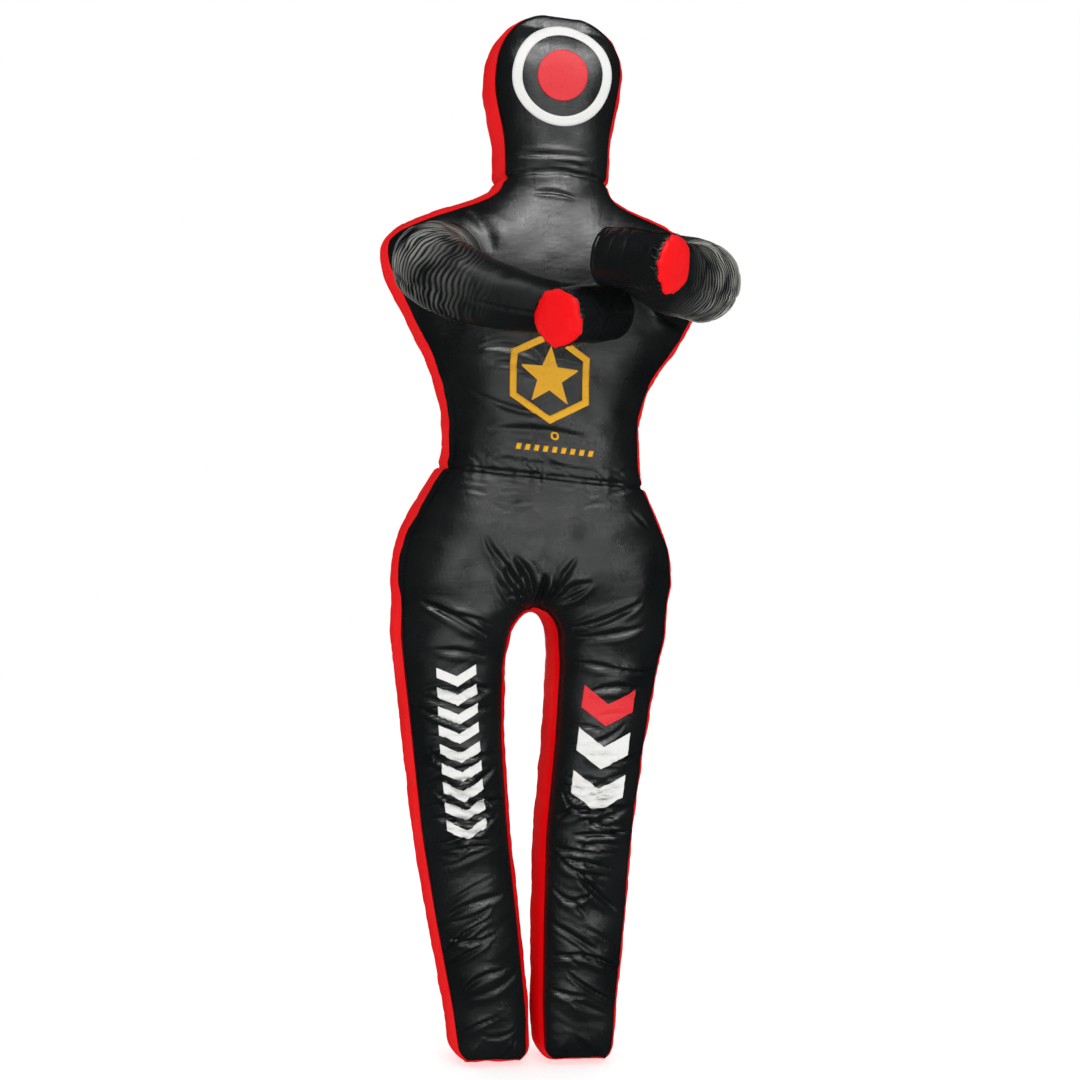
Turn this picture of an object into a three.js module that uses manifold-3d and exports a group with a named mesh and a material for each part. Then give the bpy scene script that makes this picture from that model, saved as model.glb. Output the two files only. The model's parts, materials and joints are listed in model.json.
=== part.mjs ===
// A standing grappling dummy, 1.78 m tall, in millimetres: +Z up, facing -Y, its own right side at -X.
// It is a stuffed cover: front and back panels joined by a side strip (the gusset), tube arms that
// reach forward and fold across the chest, and short hands with round end caps. Every section has its
// own filling. Soft folds fill the notches at the places where the stuffing gives way.
import * as THREE from "three";
import { mergeVertices } from "three/addons/utils/BufferGeometryUtils.js";
import Module from "manifold-3d";

const wasm = await Module();
wasm.setup();

// ---------- driving dimensions ----------
const HEIGHT = 1780;
const SKIN = 2.5; // leatherette and its canvas backing
const GAP = 0.5; // between touching pieces
const AXIS_SLACK = 2.2; // half of the slot left at a fold's axis
const WEDGE_MARGIN = 0.6; // degrees that a fold's notch is wider than its travel
const BODY_SIDES = 20;
const LEG_SIDES = 16;
const ARM_SIDES = 12;
const FLATNESS = 0.12; // how far a face may stray when slivers are merged
const BOXINESS = 2.7; // exponent of the super-ellipse sections

const NECK_AXIS = 1525;
const WAIST_AXIS = 1050;
const HIP_AXIS = 755;
const KNEE_AXIS = 430;
const CROTCH = 786;
const TONGUE = 26; // half width of the front that stays with the hips between the thighs

// Travel of each fold in degrees: closing the front of the body, and closing its back.
const TRAVEL = {
  neck: { front: 30, back: 20 },
  waist: { front: 35, back: 15 },
  hip: { front: 60, back: 10 },
  knee: { front: 0, back: 60 },
};
const SHOULDER_TRAVEL = { right: -30, left: 35 }; // lowering is negative
const ELBOW_TRAVEL = { open: 50, close: 10 };

// Body sections from the crotch to the crown: height, half width, half depth.
const BODY = [
  [CROTCH, 226, 88],
  [816, 243, 113],
  [891, 234, 115],
  [958, 200, 107],
  [1020, 168, 102],
  [1110, 169, 104],
  [1178, 191, 105],
  [1246, 235, 105],
  [1313, 274, 105],
  [1370, 286, 105],
  [1405, 262, 97],
  [1436, 206, 91],
  [1454, 137, 87],
  [1466, 103, 84],
  [1492, 98, 81],
  [1560, 99, 83],
  [1640, 116, 90],
  [1690, 118, 91],
  [1722, 109, 86],
  [1748, 90, 74],
  [1764, 72, 60],
  [HEIGHT - 5, 54, 44],
];

// The stuffing has settled unevenly: how far the sections stand to the left of the middle, by height,
// and how steeply they slope down towards the left.
const SWAY = [
  [0, 14],
  [100, 8],
  [215, 0],
  [400, -13],
  [560, -15],
  [690, -14],
  [755, -11],
  [891, -8],
  [1020, 3],
  [1110, -4],
  [1178, -6],
  [1313, 0],
  [1433, 0],
  [1500, 7],
  [1640, 0],
  [1690, 5],
  [1740, 7],
];
const SLOPE = [
  [816, 0],
  [1000, 0.08],
  [1246, 0.08],
  [1433, 0.01],
  [1600, 0.03],
  [1752, 0.07],
];

// Leg sections from the sole up into the hips: height, distance from the middle, half width, half depth.
const LEG = [
  [0, 74, 60, 62],
  [12, 73, 69, 71],
  [100, 77, 74, 76],
  [250, 92, 81, 82],
  [400, 106, 85, 88],
  [560, 122, 88, 92],
  [690, 133, 96, 98],
  [755, 133, 107, 107],
  [816, 128, 104, 106],
];

// Half width of the side gusset by height.
const GUSSET = [
  [-10, 50],
  [700, 56],
  [1000, 50],
  [1350, 50],
  [1492, 48],
  [1700, 58],
  [HEIGHT + 20, 58],
];

// Arms: the points of each centreline, outwards from the shoulder, as [out, forward, height].
const ARM_PATH = {
  right: [
    [176, 60, 1352],
    [203, 125, 1346],
    [212, 178, 1334],
    [186, 232, 1308],
    [112, 258, 1282],
    [34, 268, 1268],
    [-34, 270, 1262],
  ],
  left: [
    [183, 60, 1352],
    [212, 125, 1342],
    [226, 180, 1328],
    [208, 240, 1320],
    [160, 292, 1319],
    [108, 340, 1328],
    [66, 376, 1338],
  ],
};
const ARM_RADII = {
  right: [66, 65, 63, 58, 48, 42, 40],
  left: [66, 65, 63, 61, 58, 52, 45],
};
const ELBOW = { right: [200, 190], left: [212, 200] }; // [out, forward] of each elbow's axis
const FOREARM_HEADING = { right: [-0.98, 0.2], left: [-0.68, 0.73] };
const SHOULDER_AXIS = { forward: 112, height: 1346 };
const SHOULDER_REACH = 140;
const ARM_STEPS = 9;

const HAND_DIRECTION = { right: [-0.72, -0.68, -0.16], left: [0.74, -0.66, -0.14] };
const HAND_RADIUS = 46;
const HAND_REACH = { right: 100, left: 78 }; // from the wrist to the cap's seam
const HAND_BACK = 46;
const CAP_HEIGHT = 14;

const ZIP = { low: 1130, high: 1362, half: 13, tape: 1.6, ridge: 2, ridgeHalf: 3 };

// ---------- materials ----------
function surface(name, color, roughness, metalness = 0) {
  const material = new THREE.MeshStandardMaterial({ color, roughness, metalness });
  material.name = name;
  return material;
}
const BLACK = surface("black_leatherette", 0x14181a, 0.42);
const RED = surface("red_leatherette", 0xd3161b, 0.4);
const RAGS = surface("rag_filling", 0xb9b2a4, 0.95);
const TAPE = surface("zip_tape", 0x101010, 0.8);
const STEEL = surface("zip_metal", 0xa9abad, 0.35, 1);

// ---------- solids ----------
function solidOf(geometry) {
  const bare = geometry.clone();
  bare.deleteAttribute("normal");
  bare.deleteAttribute("uv");
  const merged = mergeVertices(bare, 1e-3);
  return new wasm.Manifold(
    new wasm.Mesh({
      numProp: 3,
      vertProperties: new Float32Array(merged.attributes.position.array),
      triVerts: new Uint32Array(merged.index.array),
    }),
  );
}

function geometryOf(solid) {
  const { numProp, vertProperties, triVerts } = solid.simplify(FLATNESS).getMesh();
  const position = new Float32Array((vertProperties.length / numProp) * 3);
  for (let i = 0; i < position.length / 3; i++)
    position.set(vertProperties.subarray(i * numProp, i * numProp + 3), i * 3);
  const geometry = new THREE.BufferGeometry();
  geometry.setAttribute("position", new THREE.BufferAttribute(position, 3));
  geometry.setIndex(new THREE.BufferAttribute(new Uint32Array(triVerts), 1));
  geometry.computeVertexNormals();
  return geometry;
}

// Joins rings of points with quads and closes both ends with a fan.
function loft(rings) {
  const sides = rings[0].length;
  const points = rings.flat();
  const faces = [];
  for (let r = 0; r + 1 < rings.length; r++)
    for (let s = 0; s < sides; s++) {
      const a = r * sides + s;
      const b = r * sides + ((s + 1) % sides);
      faces.push(a, b, b + sides, a, b + sides, a + sides);
    }
  for (const [ring, flip] of [[0, true], [rings.length - 1, false]]) {
    const middle = new THREE.Vector3();
    rings[ring].forEach((p) => middle.addScaledVector(p, 1 / sides));
    const centre = points.push(middle) - 1;
    for (let s = 0; s < sides; s++) {
      const a = ring * sides + s;
      const b = ring * sides + ((s + 1) % sides);
      faces.push(...(flip ? [centre, b, a] : [centre, a, b]));
    }
  }
  const geometry = new THREE.BufferGeometry().setFromPoints(points);
  geometry.setIndex(faces);
  return solidOf(geometry);
}

// The value of a [height, value] profile at a height.
function profileAt(profile, z) {
  const above = profile.findIndex(([height]) => height > z);
  if (above === 0) return profile[0][1];
  if (above < 0) return profile.at(-1)[1];
  const [low, before] = profile[above - 1];
  const [high, after] = profile[above];
  return THREE.MathUtils.mapLinear(z, low, high, before, after);
}

// One section of the body or a leg, moved and sloped as the stuffing has settled.
function sectionRing(z, x, halfWidth, halfDepth, sides) {
  const round = (value) => Math.sign(value) * Math.abs(value) ** (2 / BOXINESS);
  const shift = profileAt(SWAY, z);
  const slope = profileAt(SLOPE, z);
  return Array.from({ length: sides }, (_, i) => {
    const turn = (2 * Math.PI * (i + 0.5)) / sides;
    const across = x + halfWidth * round(Math.cos(turn));
    return new THREE.Vector3(across + shift, halfDepth * round(Math.sin(turn)), z - slope * across);
  });
}

// The body with its two legs, drawn in by inset on every side.
function figure(inset) {
  const body = BODY.map(([z, w, d], i) => {
    const lift = i === 0 ? inset : i === BODY.length - 1 ? -inset : 0;
    return sectionRing(z + lift, 0, w - inset, d - inset, BODY_SIDES);
  });
  const leg = (side) =>
    loft(
      LEG.map(([z, x, w, d], i) =>
        sectionRing(z + (i === 0 ? inset : 0), side * x, w - inset, d - inset, LEG_SIDES),
      ),
    );
  return loft(body).add(leg(-1)).add(leg(1));
}

// A prism with a (y, z) outline, from x = low to x = high.
function prismX(outline, low, high) {
  const shape = new THREE.Shape(outline.map(([y, z]) => new THREE.Vector2(y, z)));
  const geometry = new THREE.ExtrudeGeometry(shape, { depth: high - low, bevelEnabled: false });
  geometry.applyMatrix4(
    new THREE.Matrix4().makeBasis(
      new THREE.Vector3(0, 1, 0),
      new THREE.Vector3(0, 0, 1),
      new THREE.Vector3(1, 0, 0),
    ),
  );
  return solidOf(geometry.translate(low, 0, 0));
}

// A prism with an (x, y) outline, from z = low to z = high.
function prismZ(outline, low, high) {
  const shape = new THREE.Shape(outline.map(([x, y]) => new THREE.Vector2(x, y)));
  const geometry = new THREE.ExtrudeGeometry(shape, { depth: high - low, bevelEnabled: false });
  return solidOf(geometry.translate(0, 0, low));
}

function box(low, high) {
  const size = high.map((v, i) => v - low[i]);
  const geometry = new THREE.BoxGeometry(...size);
  return solidOf(geometry.translate(...low.map((v, i) => v + size[i] / 2)));
}

// ---------- folds of the body and legs ----------
const FAR = 400;
const tangent = (degrees) => Math.tan(((degrees + WEDGE_MARGIN) * Math.PI) / 180);

// The double notch at a fold with its axis along X, made thinner all round by shrink.
function foldPrism(height, { front, back }, low, high, shrink) {
  const slack = AXIS_SLACK - shrink;
  const frontRise = slack + FAR * tangent(front / 2);
  const backRise = slack + FAR * tangent(back / 2);
  const outline = [
    [-FAR, height - frontRise],
    [0, height - slack],
    [FAR, height - backRise],
    [FAR, height + backRise],
    [0, height + slack],
    [-FAR, height + frontRise],
  ];
  return prismX(outline, low, high);
}

function bodyFolds(shrink) {
  const folds = {
    neck_fold: foldPrism(NECK_AXIS, TRAVEL.neck, -FAR, FAR, shrink),
    waist_fold: foldPrism(WAIST_AXIS, TRAVEL.waist, -FAR, FAR, shrink),
  };
  const sideOf = (side, start) => (side === "right" ? [-FAR, start] : [start, FAR]);
  const crotch = profileAt(SWAY, HIP_AXIS);
  const tongue = { right: crotch - TONGUE - shrink, left: crotch + TONGUE + shrink };
  for (const side of ["right", "left"]) {
    const beside = sideOf(side, tongue[side]);
    folds[side + "_hip_fold"] = foldPrism(HIP_AXIS, TRAVEL.hip, ...beside, shrink);
    const leg = sideOf(side, profileAt(SWAY, KNEE_AXIS));
    folds[side + "_knee_fold"] = foldPrism(KNEE_AXIS, TRAVEL.knee, ...leg, shrink);
  }
  return folds;
}

const outer = figure(0);
const inner = figure(SKIN);
const core = figure(SKIN + GAP);
const shell = outer.subtract(inner);
const notches = Object.values(bodyFolds(0));
const notched = (solid) => notches.reduce((left, notch) => left.subtract(notch), solid);

// The band between the two gusset seams, drawn in or let out by grow.
function gussetBand(grow) {
  const seam = GUSSET.map(([z, half]) => [half + grow, z]);
  const mirrored = seam.map(([half, z]) => [-half, z]).reverse();
  return prismX([...seam, ...mirrored], -FAR, FAR);
}
const frontHalf = box([-FAR, -FAR, -FAR], [FAR, 0, HEIGHT + FAR]);

const SECTIONS = [
  ["shin", 0, KNEE_AXIS],
  ["thigh", KNEE_AXIS, HIP_AXIS],
  ["hips", HIP_AXIS, WAIST_AXIS],
  ["torso", WAIST_AXIS, NECK_AXIS],
  ["head", NECK_AXIS, HEIGHT + 1],
];

// Where a loose piece sits: its section, its side and its middle.
function placeOf(piece) {
  const { min, max } = piece.boundingBox();
  const middle = max.map((v, i) => (v + min[i]) / 2);
  const [section] = SECTIONS.find(([, low, high]) => middle[2] >= low && middle[2] < high);
  const across = middle[0] - profileAt(SWAY, middle[2]);
  return { section, side: across < 0 ? "right" : "left", out: Math.abs(across) };
}

const SLIVER = 50; // mm3: crumbs that a cut leaves at a corner
const loose = (solid) => solid.decompose().filter((piece) => piece.volume() > SLIVER);
const paired = (section) => section === "shin" || section === "thigh";

// ---------- the group ----------
const dummy = new THREE.Group();

function add(name, solid, material) {
  const mesh = new THREE.Mesh(geometryOf(solid), material);
  mesh.name = name;
  dummy.add(mesh);
}

// Cuts a sheet or a filling at every fold and adds each section under its own name.
function addSections(solid, word, material) {
  for (const piece of loose(notched(solid))) {
    const { section, side } = placeOf(piece);
    add((paired(section) ? side + "_" : "") + section + "_" + word, piece, material);
  }
}

function addGussets() {
  const legMiddle = 130; // of a thigh, from the figure's own middle
  for (const piece of loose(notched(shell.intersect(gussetBand(-GAP / 2))))) {
    const { section, side, out } = placeOf(piece);
    const edge = out > legMiddle ? "outer" : "inner";
    const names = {
      head: "head_gusset",
      torso: side + "_torso_gusset",
      hips: out < TONGUE ? "crotch_gusset" : side + "_hip_gusset",
      thigh: side + "_thigh_" + edge + "_gusset",
      shin: side + "_shin_and_sole_gusset",
    };
    add(names[section], piece, RED);
  }
}

function zipWindow(grow) {
  return box(
    [-ZIP.half - grow, 0, ZIP.low - grow],
    [ZIP.half + grow, FAR, ZIP.high + grow],
  );
}

const outsideBand = shell.subtract(gussetBand(GAP / 2));
addSections(outsideBand.intersect(frontHalf), "front_panel", BLACK);
addSections(outsideBand.subtract(frontHalf).subtract(zipWindow(GAP)), "back_panel", BLACK);
addGussets();
addSections(core, "filling", RAGS);
for (const [name, prism] of Object.entries(bodyFolds(GAP)))
  add(name, outer.intersect(prism), BLACK);

// ---------- back zip ----------
const BACK = 105; // half depth of the torso along the zip
const ZIP_FACE = BACK - SKIN + 0.1;
const SLIDER = { half: 5.5, tall: 14, face: BACK + 4.4, channel: ZIP.ridgeHalf + 0.6 };
const PULL = { bar: 1, eye: 1.4, ring: 2.8, half: 2.7, long: 30, thick: 1.4 };
const BAR_Y = SLIDER.face + PULL.ring + 0.3;
const SLIDER_TOP = ZIP.high - 4;
const BAR_Z = SLIDER_TOP - SLIDER.tall / 2;

function addZip() {
  const tapeTop = ZIP_FACE + ZIP.tape;
  const tape = box([-ZIP.half, ZIP_FACE, ZIP.low], [ZIP.half, tapeTop, ZIP.high]);
  const ridge = box(
    [-ZIP.ridgeHalf, tapeTop - 0.5, ZIP.low + 2],
    [ZIP.ridgeHalf, tapeTop + ZIP.ridge, ZIP.high - 2],
  );
  add("back_zip_tape", tape.add(ridge), TAPE);

  const low = SLIDER_TOP - SLIDER.tall;
  const block = box([-SLIDER.half, tapeTop + 0.4, low], [SLIDER.half, SLIDER.face, SLIDER_TOP]);
  const channel = box(
    [-SLIDER.channel, 0, low - 1],
    [SLIDER.channel, tapeTop + ZIP.ridge + 0.5, SLIDER_TOP + 1],
  );
  const lug = (x) =>
    box([x - 0.8, SLIDER.face - 0.5, BAR_Z - 2], [x + 0.8, BAR_Y + 1.6, BAR_Z + 2]);
  const lugAt = PULL.half + 1.2;
  const bar = new THREE.CylinderGeometry(PULL.bar, PULL.bar, 2 * lugAt, 12)
    .rotateZ(Math.PI / 2)
    .translate(0, BAR_Y, BAR_Z);
  const slider = block.subtract(channel).add(lug(-lugAt)).add(lug(lugAt)).add(solidOf(bar));
  add("back_zip_slider", slider, STEEL);

  const outline = new THREE.Shape();
  outline.absarc(BAR_Y, BAR_Z, PULL.ring, -Math.PI / 3, (4 * Math.PI) / 3);
  outline.lineTo(BAR_Y - PULL.thick / 2, BAR_Z - PULL.long);
  outline.lineTo(BAR_Y + PULL.thick / 2, BAR_Z - PULL.long);
  outline.closePath();
  outline.holes.push(new THREE.Path().absarc(BAR_Y, BAR_Z, PULL.eye, 0, 2 * Math.PI, true));
  const pull = new THREE.ExtrudeGeometry(outline, {
    depth: 2 * PULL.half,
    bevelEnabled: false,
    curveSegments: 10,
  });
  pull.applyMatrix4(
    new THREE.Matrix4().makeBasis(
      new THREE.Vector3(0, 1, 0),
      new THREE.Vector3(0, 0, 1),
      new THREE.Vector3(1, 0, 0),
    ),
  );
  add("back_zip_pull", solidOf(pull.translate(-PULL.half, 0, 0)), STEEL);
}
addZip();

// ---------- arms ----------
const SIDE = { right: -1, left: 1 };
const armPoint = (side, [out, forward, height]) =>
  new THREE.Vector3(SIDE[side] * out, -forward, height);

// A tube along an arm's centreline that tapers towards the wrist, drawn in by inset.
function armTube(side, inset) {
  const curve = new THREE.CatmullRomCurve3(ARM_PATH[side].map((p) => armPoint(side, p)));
  const frames = curve.computeFrenetFrames(ARM_STEPS);
  const last = ARM_RADII[side].length - 1;
  const radii = ARM_RADII[side].map((radius, i) => [i / last, radius]);
  const rings = Array.from({ length: ARM_STEPS + 1 }, (_, i) => {
    const share = i / ARM_STEPS;
    const radius = profileAt(radii, share);
    const centre = curve.getPointAt(share);
    return Array.from({ length: ARM_SIDES }, (_, s) => {
      const turn = (2 * Math.PI * s) / ARM_SIDES;
      return centre
        .clone()
        .addScaledVector(frames.normals[i], (radius - inset) * Math.cos(turn))
        .addScaledVector(frames.binormals[i], (radius - inset) * Math.sin(turn));
    });
  });
  return loft(rings);
}

// A hand: rings along its axis, from the closed back to the cap's seam, as [along, radius].
function handLoft(side, profile) {
  const wrist = armPoint(side, ARM_PATH[side].at(-1));
  const along = new THREE.Vector3(...HAND_DIRECTION[side]).normalize();
  const across = new THREE.Vector3(0, 0, 1).cross(along).normalize();
  const up = along.clone().cross(across);
  return loft(
    profile.map(([distance, radius]) =>
      Array.from({ length: ARM_SIDES }, (_, s) => {
        const turn = (2 * Math.PI * s) / ARM_SIDES;
        return wrist
          .clone()
          .addScaledVector(along, distance)
          .addScaledVector(across, radius * Math.cos(turn))
          .addScaledVector(up, radius * Math.sin(turn));
      }),
    ),
  );
}

function handBody(side, inset, front) {
  return handLoft(side, [
    [-HAND_BACK + inset, HAND_RADIUS * 0.62 - inset],
    [-HAND_BACK * 0.72 + inset * 0.7, HAND_RADIUS * 0.9 - inset],
    [-HAND_BACK * 0.3, HAND_RADIUS - inset],
    [front, HAND_RADIUS - inset],
  ]);
}

// The slot at a shoulder, in front of the torso: the root fold lies behind its slanting face.
function shoulderRoot(side, shift) {
  const { forward, height } = SHOULDER_AXIS;
  const lean = tangent(Math.abs(SHOULDER_TRAVEL[side])) * SHOULDER_REACH;
  const [lowLean, highLean] = SHOULDER_TRAVEL[side] < 0 ? [lean, 0] : [0, lean];
  return prismX(
    [
      [FAR, height - SHOULDER_REACH],
      [FAR, height + SHOULDER_REACH],
      [-forward - highLean - shift, height + SHOULDER_REACH],
      [-forward - shift, height],
      [-forward - lowLean - shift, height - SHOULDER_REACH],
    ],
    -FAR,
    FAR,
  );
}

// The double notch at an elbow, whose axis stands upright at the middle of the bend.
function elbowPrism(side, shrink) {
  const sign = SIDE[side];
  const axis = new THREE.Vector2(sign * ELBOW[side][0], -ELBOW[side][1]);
  const heading = new THREE.Vector2(sign * FOREARM_HEADING[side][0], -FOREARM_HEADING[side][1]);
  const outward = new THREE.Vector2(0, -1).sub(heading).normalize();
  const across = new THREE.Vector2(-outward.y, outward.x);
  const corner = (reach, degrees, turn) => {
    const half = AXIS_SLACK - shrink + Math.abs(reach) * tangent(degrees / 2);
    return axis.clone().addScaledVector(outward, reach).addScaledVector(across, turn * half);
  };
  const outline = [
    corner(FAR / 2, ELBOW_TRAVEL.open, -1),
    corner(FAR / 2, ELBOW_TRAVEL.open, 1),
    corner(0, 0, 1),
    corner(-FAR / 2, ELBOW_TRAVEL.close, 1),
    corner(-FAR / 2, ELBOW_TRAVEL.close, -1),
    corner(0, 0, -1),
  ];
  const { height } = SHOULDER_AXIS;
  return prismZ(outline.map((p) => [p.x, p.y]), height - FAR / 2, height + FAR / 2);
}

const clearOfTorso = figure(-GAP);
const nearestTorso = (a, b) => b.boundingBox().max[1] - a.boundingBox().max[1];

function addArm(side) {
  const rootCut = shoulderRoot(side, GAP);
  const elbowNotch = elbowPrism(side, 0);
  const seam = HAND_REACH[side];
  const handOuter = handBody(side, 0, seam);
  const handHollow = handBody(side, SKIN, seam + 10);
  const handCore = handBody(side, SKIN + GAP, seam);
  const tube = armTube(side, 0);
  const hollow = armTube(side, SKIN);
  const tubeCore = armTube(side, SKIN + GAP);

  // The forearm is dented where the hand and its cap press on it.
  const capRoom = handLoft(side, [
    [seam - GAP, HAND_RADIUS + GAP],
    [seam + CAP_HEIGHT + 2 * GAP, HAND_RADIUS + GAP],
  ]);
  const handRoom = handBody(side, -GAP, seam + GAP).add(capRoom);
  const segments = (solid) =>
    loose(solid.subtract(rootCut).subtract(elbowNotch)).sort(nearestTorso);
  const [upperSleeve, foreSleeve] = segments(tube.subtract(hollow).subtract(handRoom));
  const [upperCore, foreCore] = segments(tubeCore.subtract(capRoom));
  add(side + "_upper_arm_sleeve", upperSleeve, BLACK);
  add(side + "_forearm_sleeve", foreSleeve, BLACK);
  add(side + "_upper_arm_filling", upperCore, RAGS);
  add(side + "_forearm_and_hand_filling", foreCore.add(handCore), RAGS);
  add(side + "_hand_cover", handOuter.subtract(handHollow).subtract(hollow), BLACK);
  const cap = handLoft(side, [
    [seam + GAP, HAND_RADIUS],
    [seam + GAP + CAP_HEIGHT * 0.45, HAND_RADIUS * 0.94],
    [seam + GAP + CAP_HEIGHT * 0.85, HAND_RADIUS * 0.68],
    [seam + GAP + CAP_HEIGHT, HAND_RADIUS * 0.3],
  ]);
  add(side + "_hand_cap", cap, RED);

  const biggest = (solid) => loose(solid).sort((a, b) => b.volume() - a.volume())[0];
  const root = tube.intersect(shoulderRoot(side, 0)).subtract(clearOfTorso);
  add(side + "_shoulder_fold", biggest(root), BLACK);
  const elbow = tube.subtract(rootCut).intersect(elbowPrism(side, GAP));
  add(side + "_elbow_fold", biggest(elbow), BLACK);
}
addArm("right");
addArm("left");

// The origin is at the bottom centre of the whole figure's box.
const reach = new THREE.Box3().setFromObject(dummy);
const middle = reach.getCenter(new THREE.Vector3());
dummy.position.set(-middle.x, -middle.y, -reach.min.z);

export default dummy;
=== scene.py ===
"""Looks of a stuffed grappling dummy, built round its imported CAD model.

Metres, +Z up, facing -Y. The cover is a front and a back panel joined by a side strip (the gusset),
so its skin is made as two pillows over the figure's outline and a strip along that outline.
"""

import itertools
import json
import math

import bpy
import numpy as np
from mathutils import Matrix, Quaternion, Vector, kdtree
from mathutils.bvhtree import BVHTree


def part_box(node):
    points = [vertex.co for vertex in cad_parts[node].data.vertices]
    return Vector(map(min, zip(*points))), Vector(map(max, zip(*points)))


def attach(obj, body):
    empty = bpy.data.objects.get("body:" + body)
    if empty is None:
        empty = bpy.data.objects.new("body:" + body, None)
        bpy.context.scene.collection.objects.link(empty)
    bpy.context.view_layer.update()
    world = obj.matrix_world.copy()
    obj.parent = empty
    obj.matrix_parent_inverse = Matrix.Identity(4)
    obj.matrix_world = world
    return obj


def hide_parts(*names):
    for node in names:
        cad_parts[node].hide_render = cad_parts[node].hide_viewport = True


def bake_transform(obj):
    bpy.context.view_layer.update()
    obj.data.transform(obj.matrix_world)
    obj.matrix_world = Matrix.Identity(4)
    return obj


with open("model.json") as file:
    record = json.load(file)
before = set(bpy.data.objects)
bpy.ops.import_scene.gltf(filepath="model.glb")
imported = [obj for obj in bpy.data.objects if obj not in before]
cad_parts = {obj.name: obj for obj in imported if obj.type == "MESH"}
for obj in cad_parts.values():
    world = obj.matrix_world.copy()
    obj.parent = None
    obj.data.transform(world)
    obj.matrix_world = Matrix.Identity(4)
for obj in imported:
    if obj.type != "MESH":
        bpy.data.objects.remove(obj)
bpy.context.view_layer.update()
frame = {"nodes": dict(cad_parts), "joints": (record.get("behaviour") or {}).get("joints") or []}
NODES = frame["nodes"]
JOINTS = {joint["name"]: joint for joint in frame["joints"]}
SIDES = {"right": -1, "left": 1}

# ---------- driving dimensions ----------
STEP = 0.004  # spacing of the mesh along the outline
COLUMNS = 84  # from the middle of the body, or a leg's inner seam, outwards
STRIP_COLUMNS = 16
BULGE = 0.008  # how far the gusset swells beyond its seams
TURN = 0.016  # how far the trunk's cover has turned round its stuffing, towards the left at the front
EDGE_ROUND = 0.085  # how far from a seam a panel reaches its full depth
EDGE_POWER = 2.15  # 2 gives a round edge, more a fuller one
TRUNK_OVERHANG, HEAD_OVERHANG = 0.013, 0.003  # how far the front panel is pressed out over its seam
FOOT_CORNER = 0.034
CROWN_CORNER = 0.03
ARCH_HEIGHT = 0.06
# How steeply the sections slope down towards the left, by height.
SLOPE = ((0.816, 0), (1.0, 0.08), (1.246, 0.08), (1.433, 0.01), (1.6, 0.03), (1.752, 0.07))
LEAST_RISE = 0.014  # how far a panel stands out beyond its seams at least
SHOULDERS = (1.38, 1.46)  # the heights over which the trunk ends
UPPER_LEGS = (0.64, 0.78)  # the heights over which a leg's loose cover ends
PRINT_LIFT = 0.001
PRINT_THICK = 0.0005
SEED = 11

AXIS_X, AXIS_Y = JOINTS["waist_bend"]["pos_m"][:2]
WAIST_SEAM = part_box("waist_fold")[0].z - 0.012
NECK_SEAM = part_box("neck_fold")[0].z - 0.006
LEG_SPLIT = (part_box("right_hip_fold")[0].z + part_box("right_knee_fold")[1].z) / 2
ZIP_LOW, ZIP_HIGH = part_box("back_zip_tape")


# ---------- noise and small helpers ----------
def value_noise(points, seed):
    """Smooth noise from -1 to 1 with one cell per unit of points, an array of (x, y, z)."""
    cell = np.floor(points).astype(np.int64)
    part = points - cell
    part = part * part * (3 - 2 * part)
    total = np.zeros(points.shape[:-1])
    for corner in itertools.product((0, 1), repeat=3):
        key = (cell + corner) @ np.array([73856093, 19349663, 83492791]) + seed * 2654435
        key = (key ^ (key >> 13)) * 1274126177
        value = ((key ^ (key >> 16)) & 0xFFFF) / 32767.5 - 1
        total += value * np.prod(np.where(corner, part, 1 - part), axis=-1)
    return total


def noise_at(x, y, z, seed):
    return value_noise(np.stack(np.broadcast_arrays(x, y, z), axis=-1), seed)


def ridges(across, along, depth, seed):
    """Narrow valleys of noise, from -1 in a valley to 0 beside it."""
    return -np.clip(1 - 2.4 * np.abs(noise_at(across, along, depth, seed)), 0, 1)


def smooth(values, passes):
    """Evens out an array with a short moving average; its ends stay."""
    values = np.array(values, float)
    for _ in range(passes):
        values[1:-1] = (values[:-2] + 2 * values[1:-1] + values[2:]) / 4
    return values


def step_up(value, low, high):
    """0 below low, 1 above high, and a smooth rise in between."""
    share = np.clip((value - low) / (high - low), 0, 1)
    return share * share * (3 - 2 * share)


def step_down(value, low, high):
    return step_up(-value, -high, -low)


def bell(value, width):
    return np.exp(-((value / width) ** 2))


def fade(distance, length):
    return np.exp(-distance / length)


def unit(vectors):
    return vectors / np.linalg.norm(vectors, axis=-1, keepdims=True)


def run_along(points):
    """How far along a line of points each point is."""
    return np.concatenate([[0], np.cumsum(np.linalg.norm(np.diff(points, axis=0), axis=1))])


def grid_faces(rows, columns, flip=False, wrap=False):
    """The quads of a grid of points in row order; wrap also joins its last column to its first."""
    numbers = np.arange(rows * columns).reshape(rows, columns)
    if wrap:
        numbers = np.hstack([numbers, numbers[:, :1]])
    corners = [numbers[:-1, :-1], numbers[:-1, 1:], numbers[1:, 1:], numbers[1:, :-1]]
    return np.stack(corners[::-1] if flip else corners, axis=2).reshape(-1, 4)


# ---------- the figure's outline, read from the CAD nodes ----------
def slope(z):
    return np.interp(z, *np.transpose(SLOPE))


def edges_of(names):
    """Both ends of every edge of these nodes, with the sections' slope taken out."""
    edges = []
    for name in names:
        mesh = NODES[name].data
        points = np.array([v.co for v in mesh.vertices])
        points[:, 2] += slope(points[:, 2]) * (points[:, 0] - AXIS_X)
        edges.append(points[[e.vertices[:] for e in mesh.edges]])
    return np.concatenate(edges).transpose(1, 0, 2)


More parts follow.
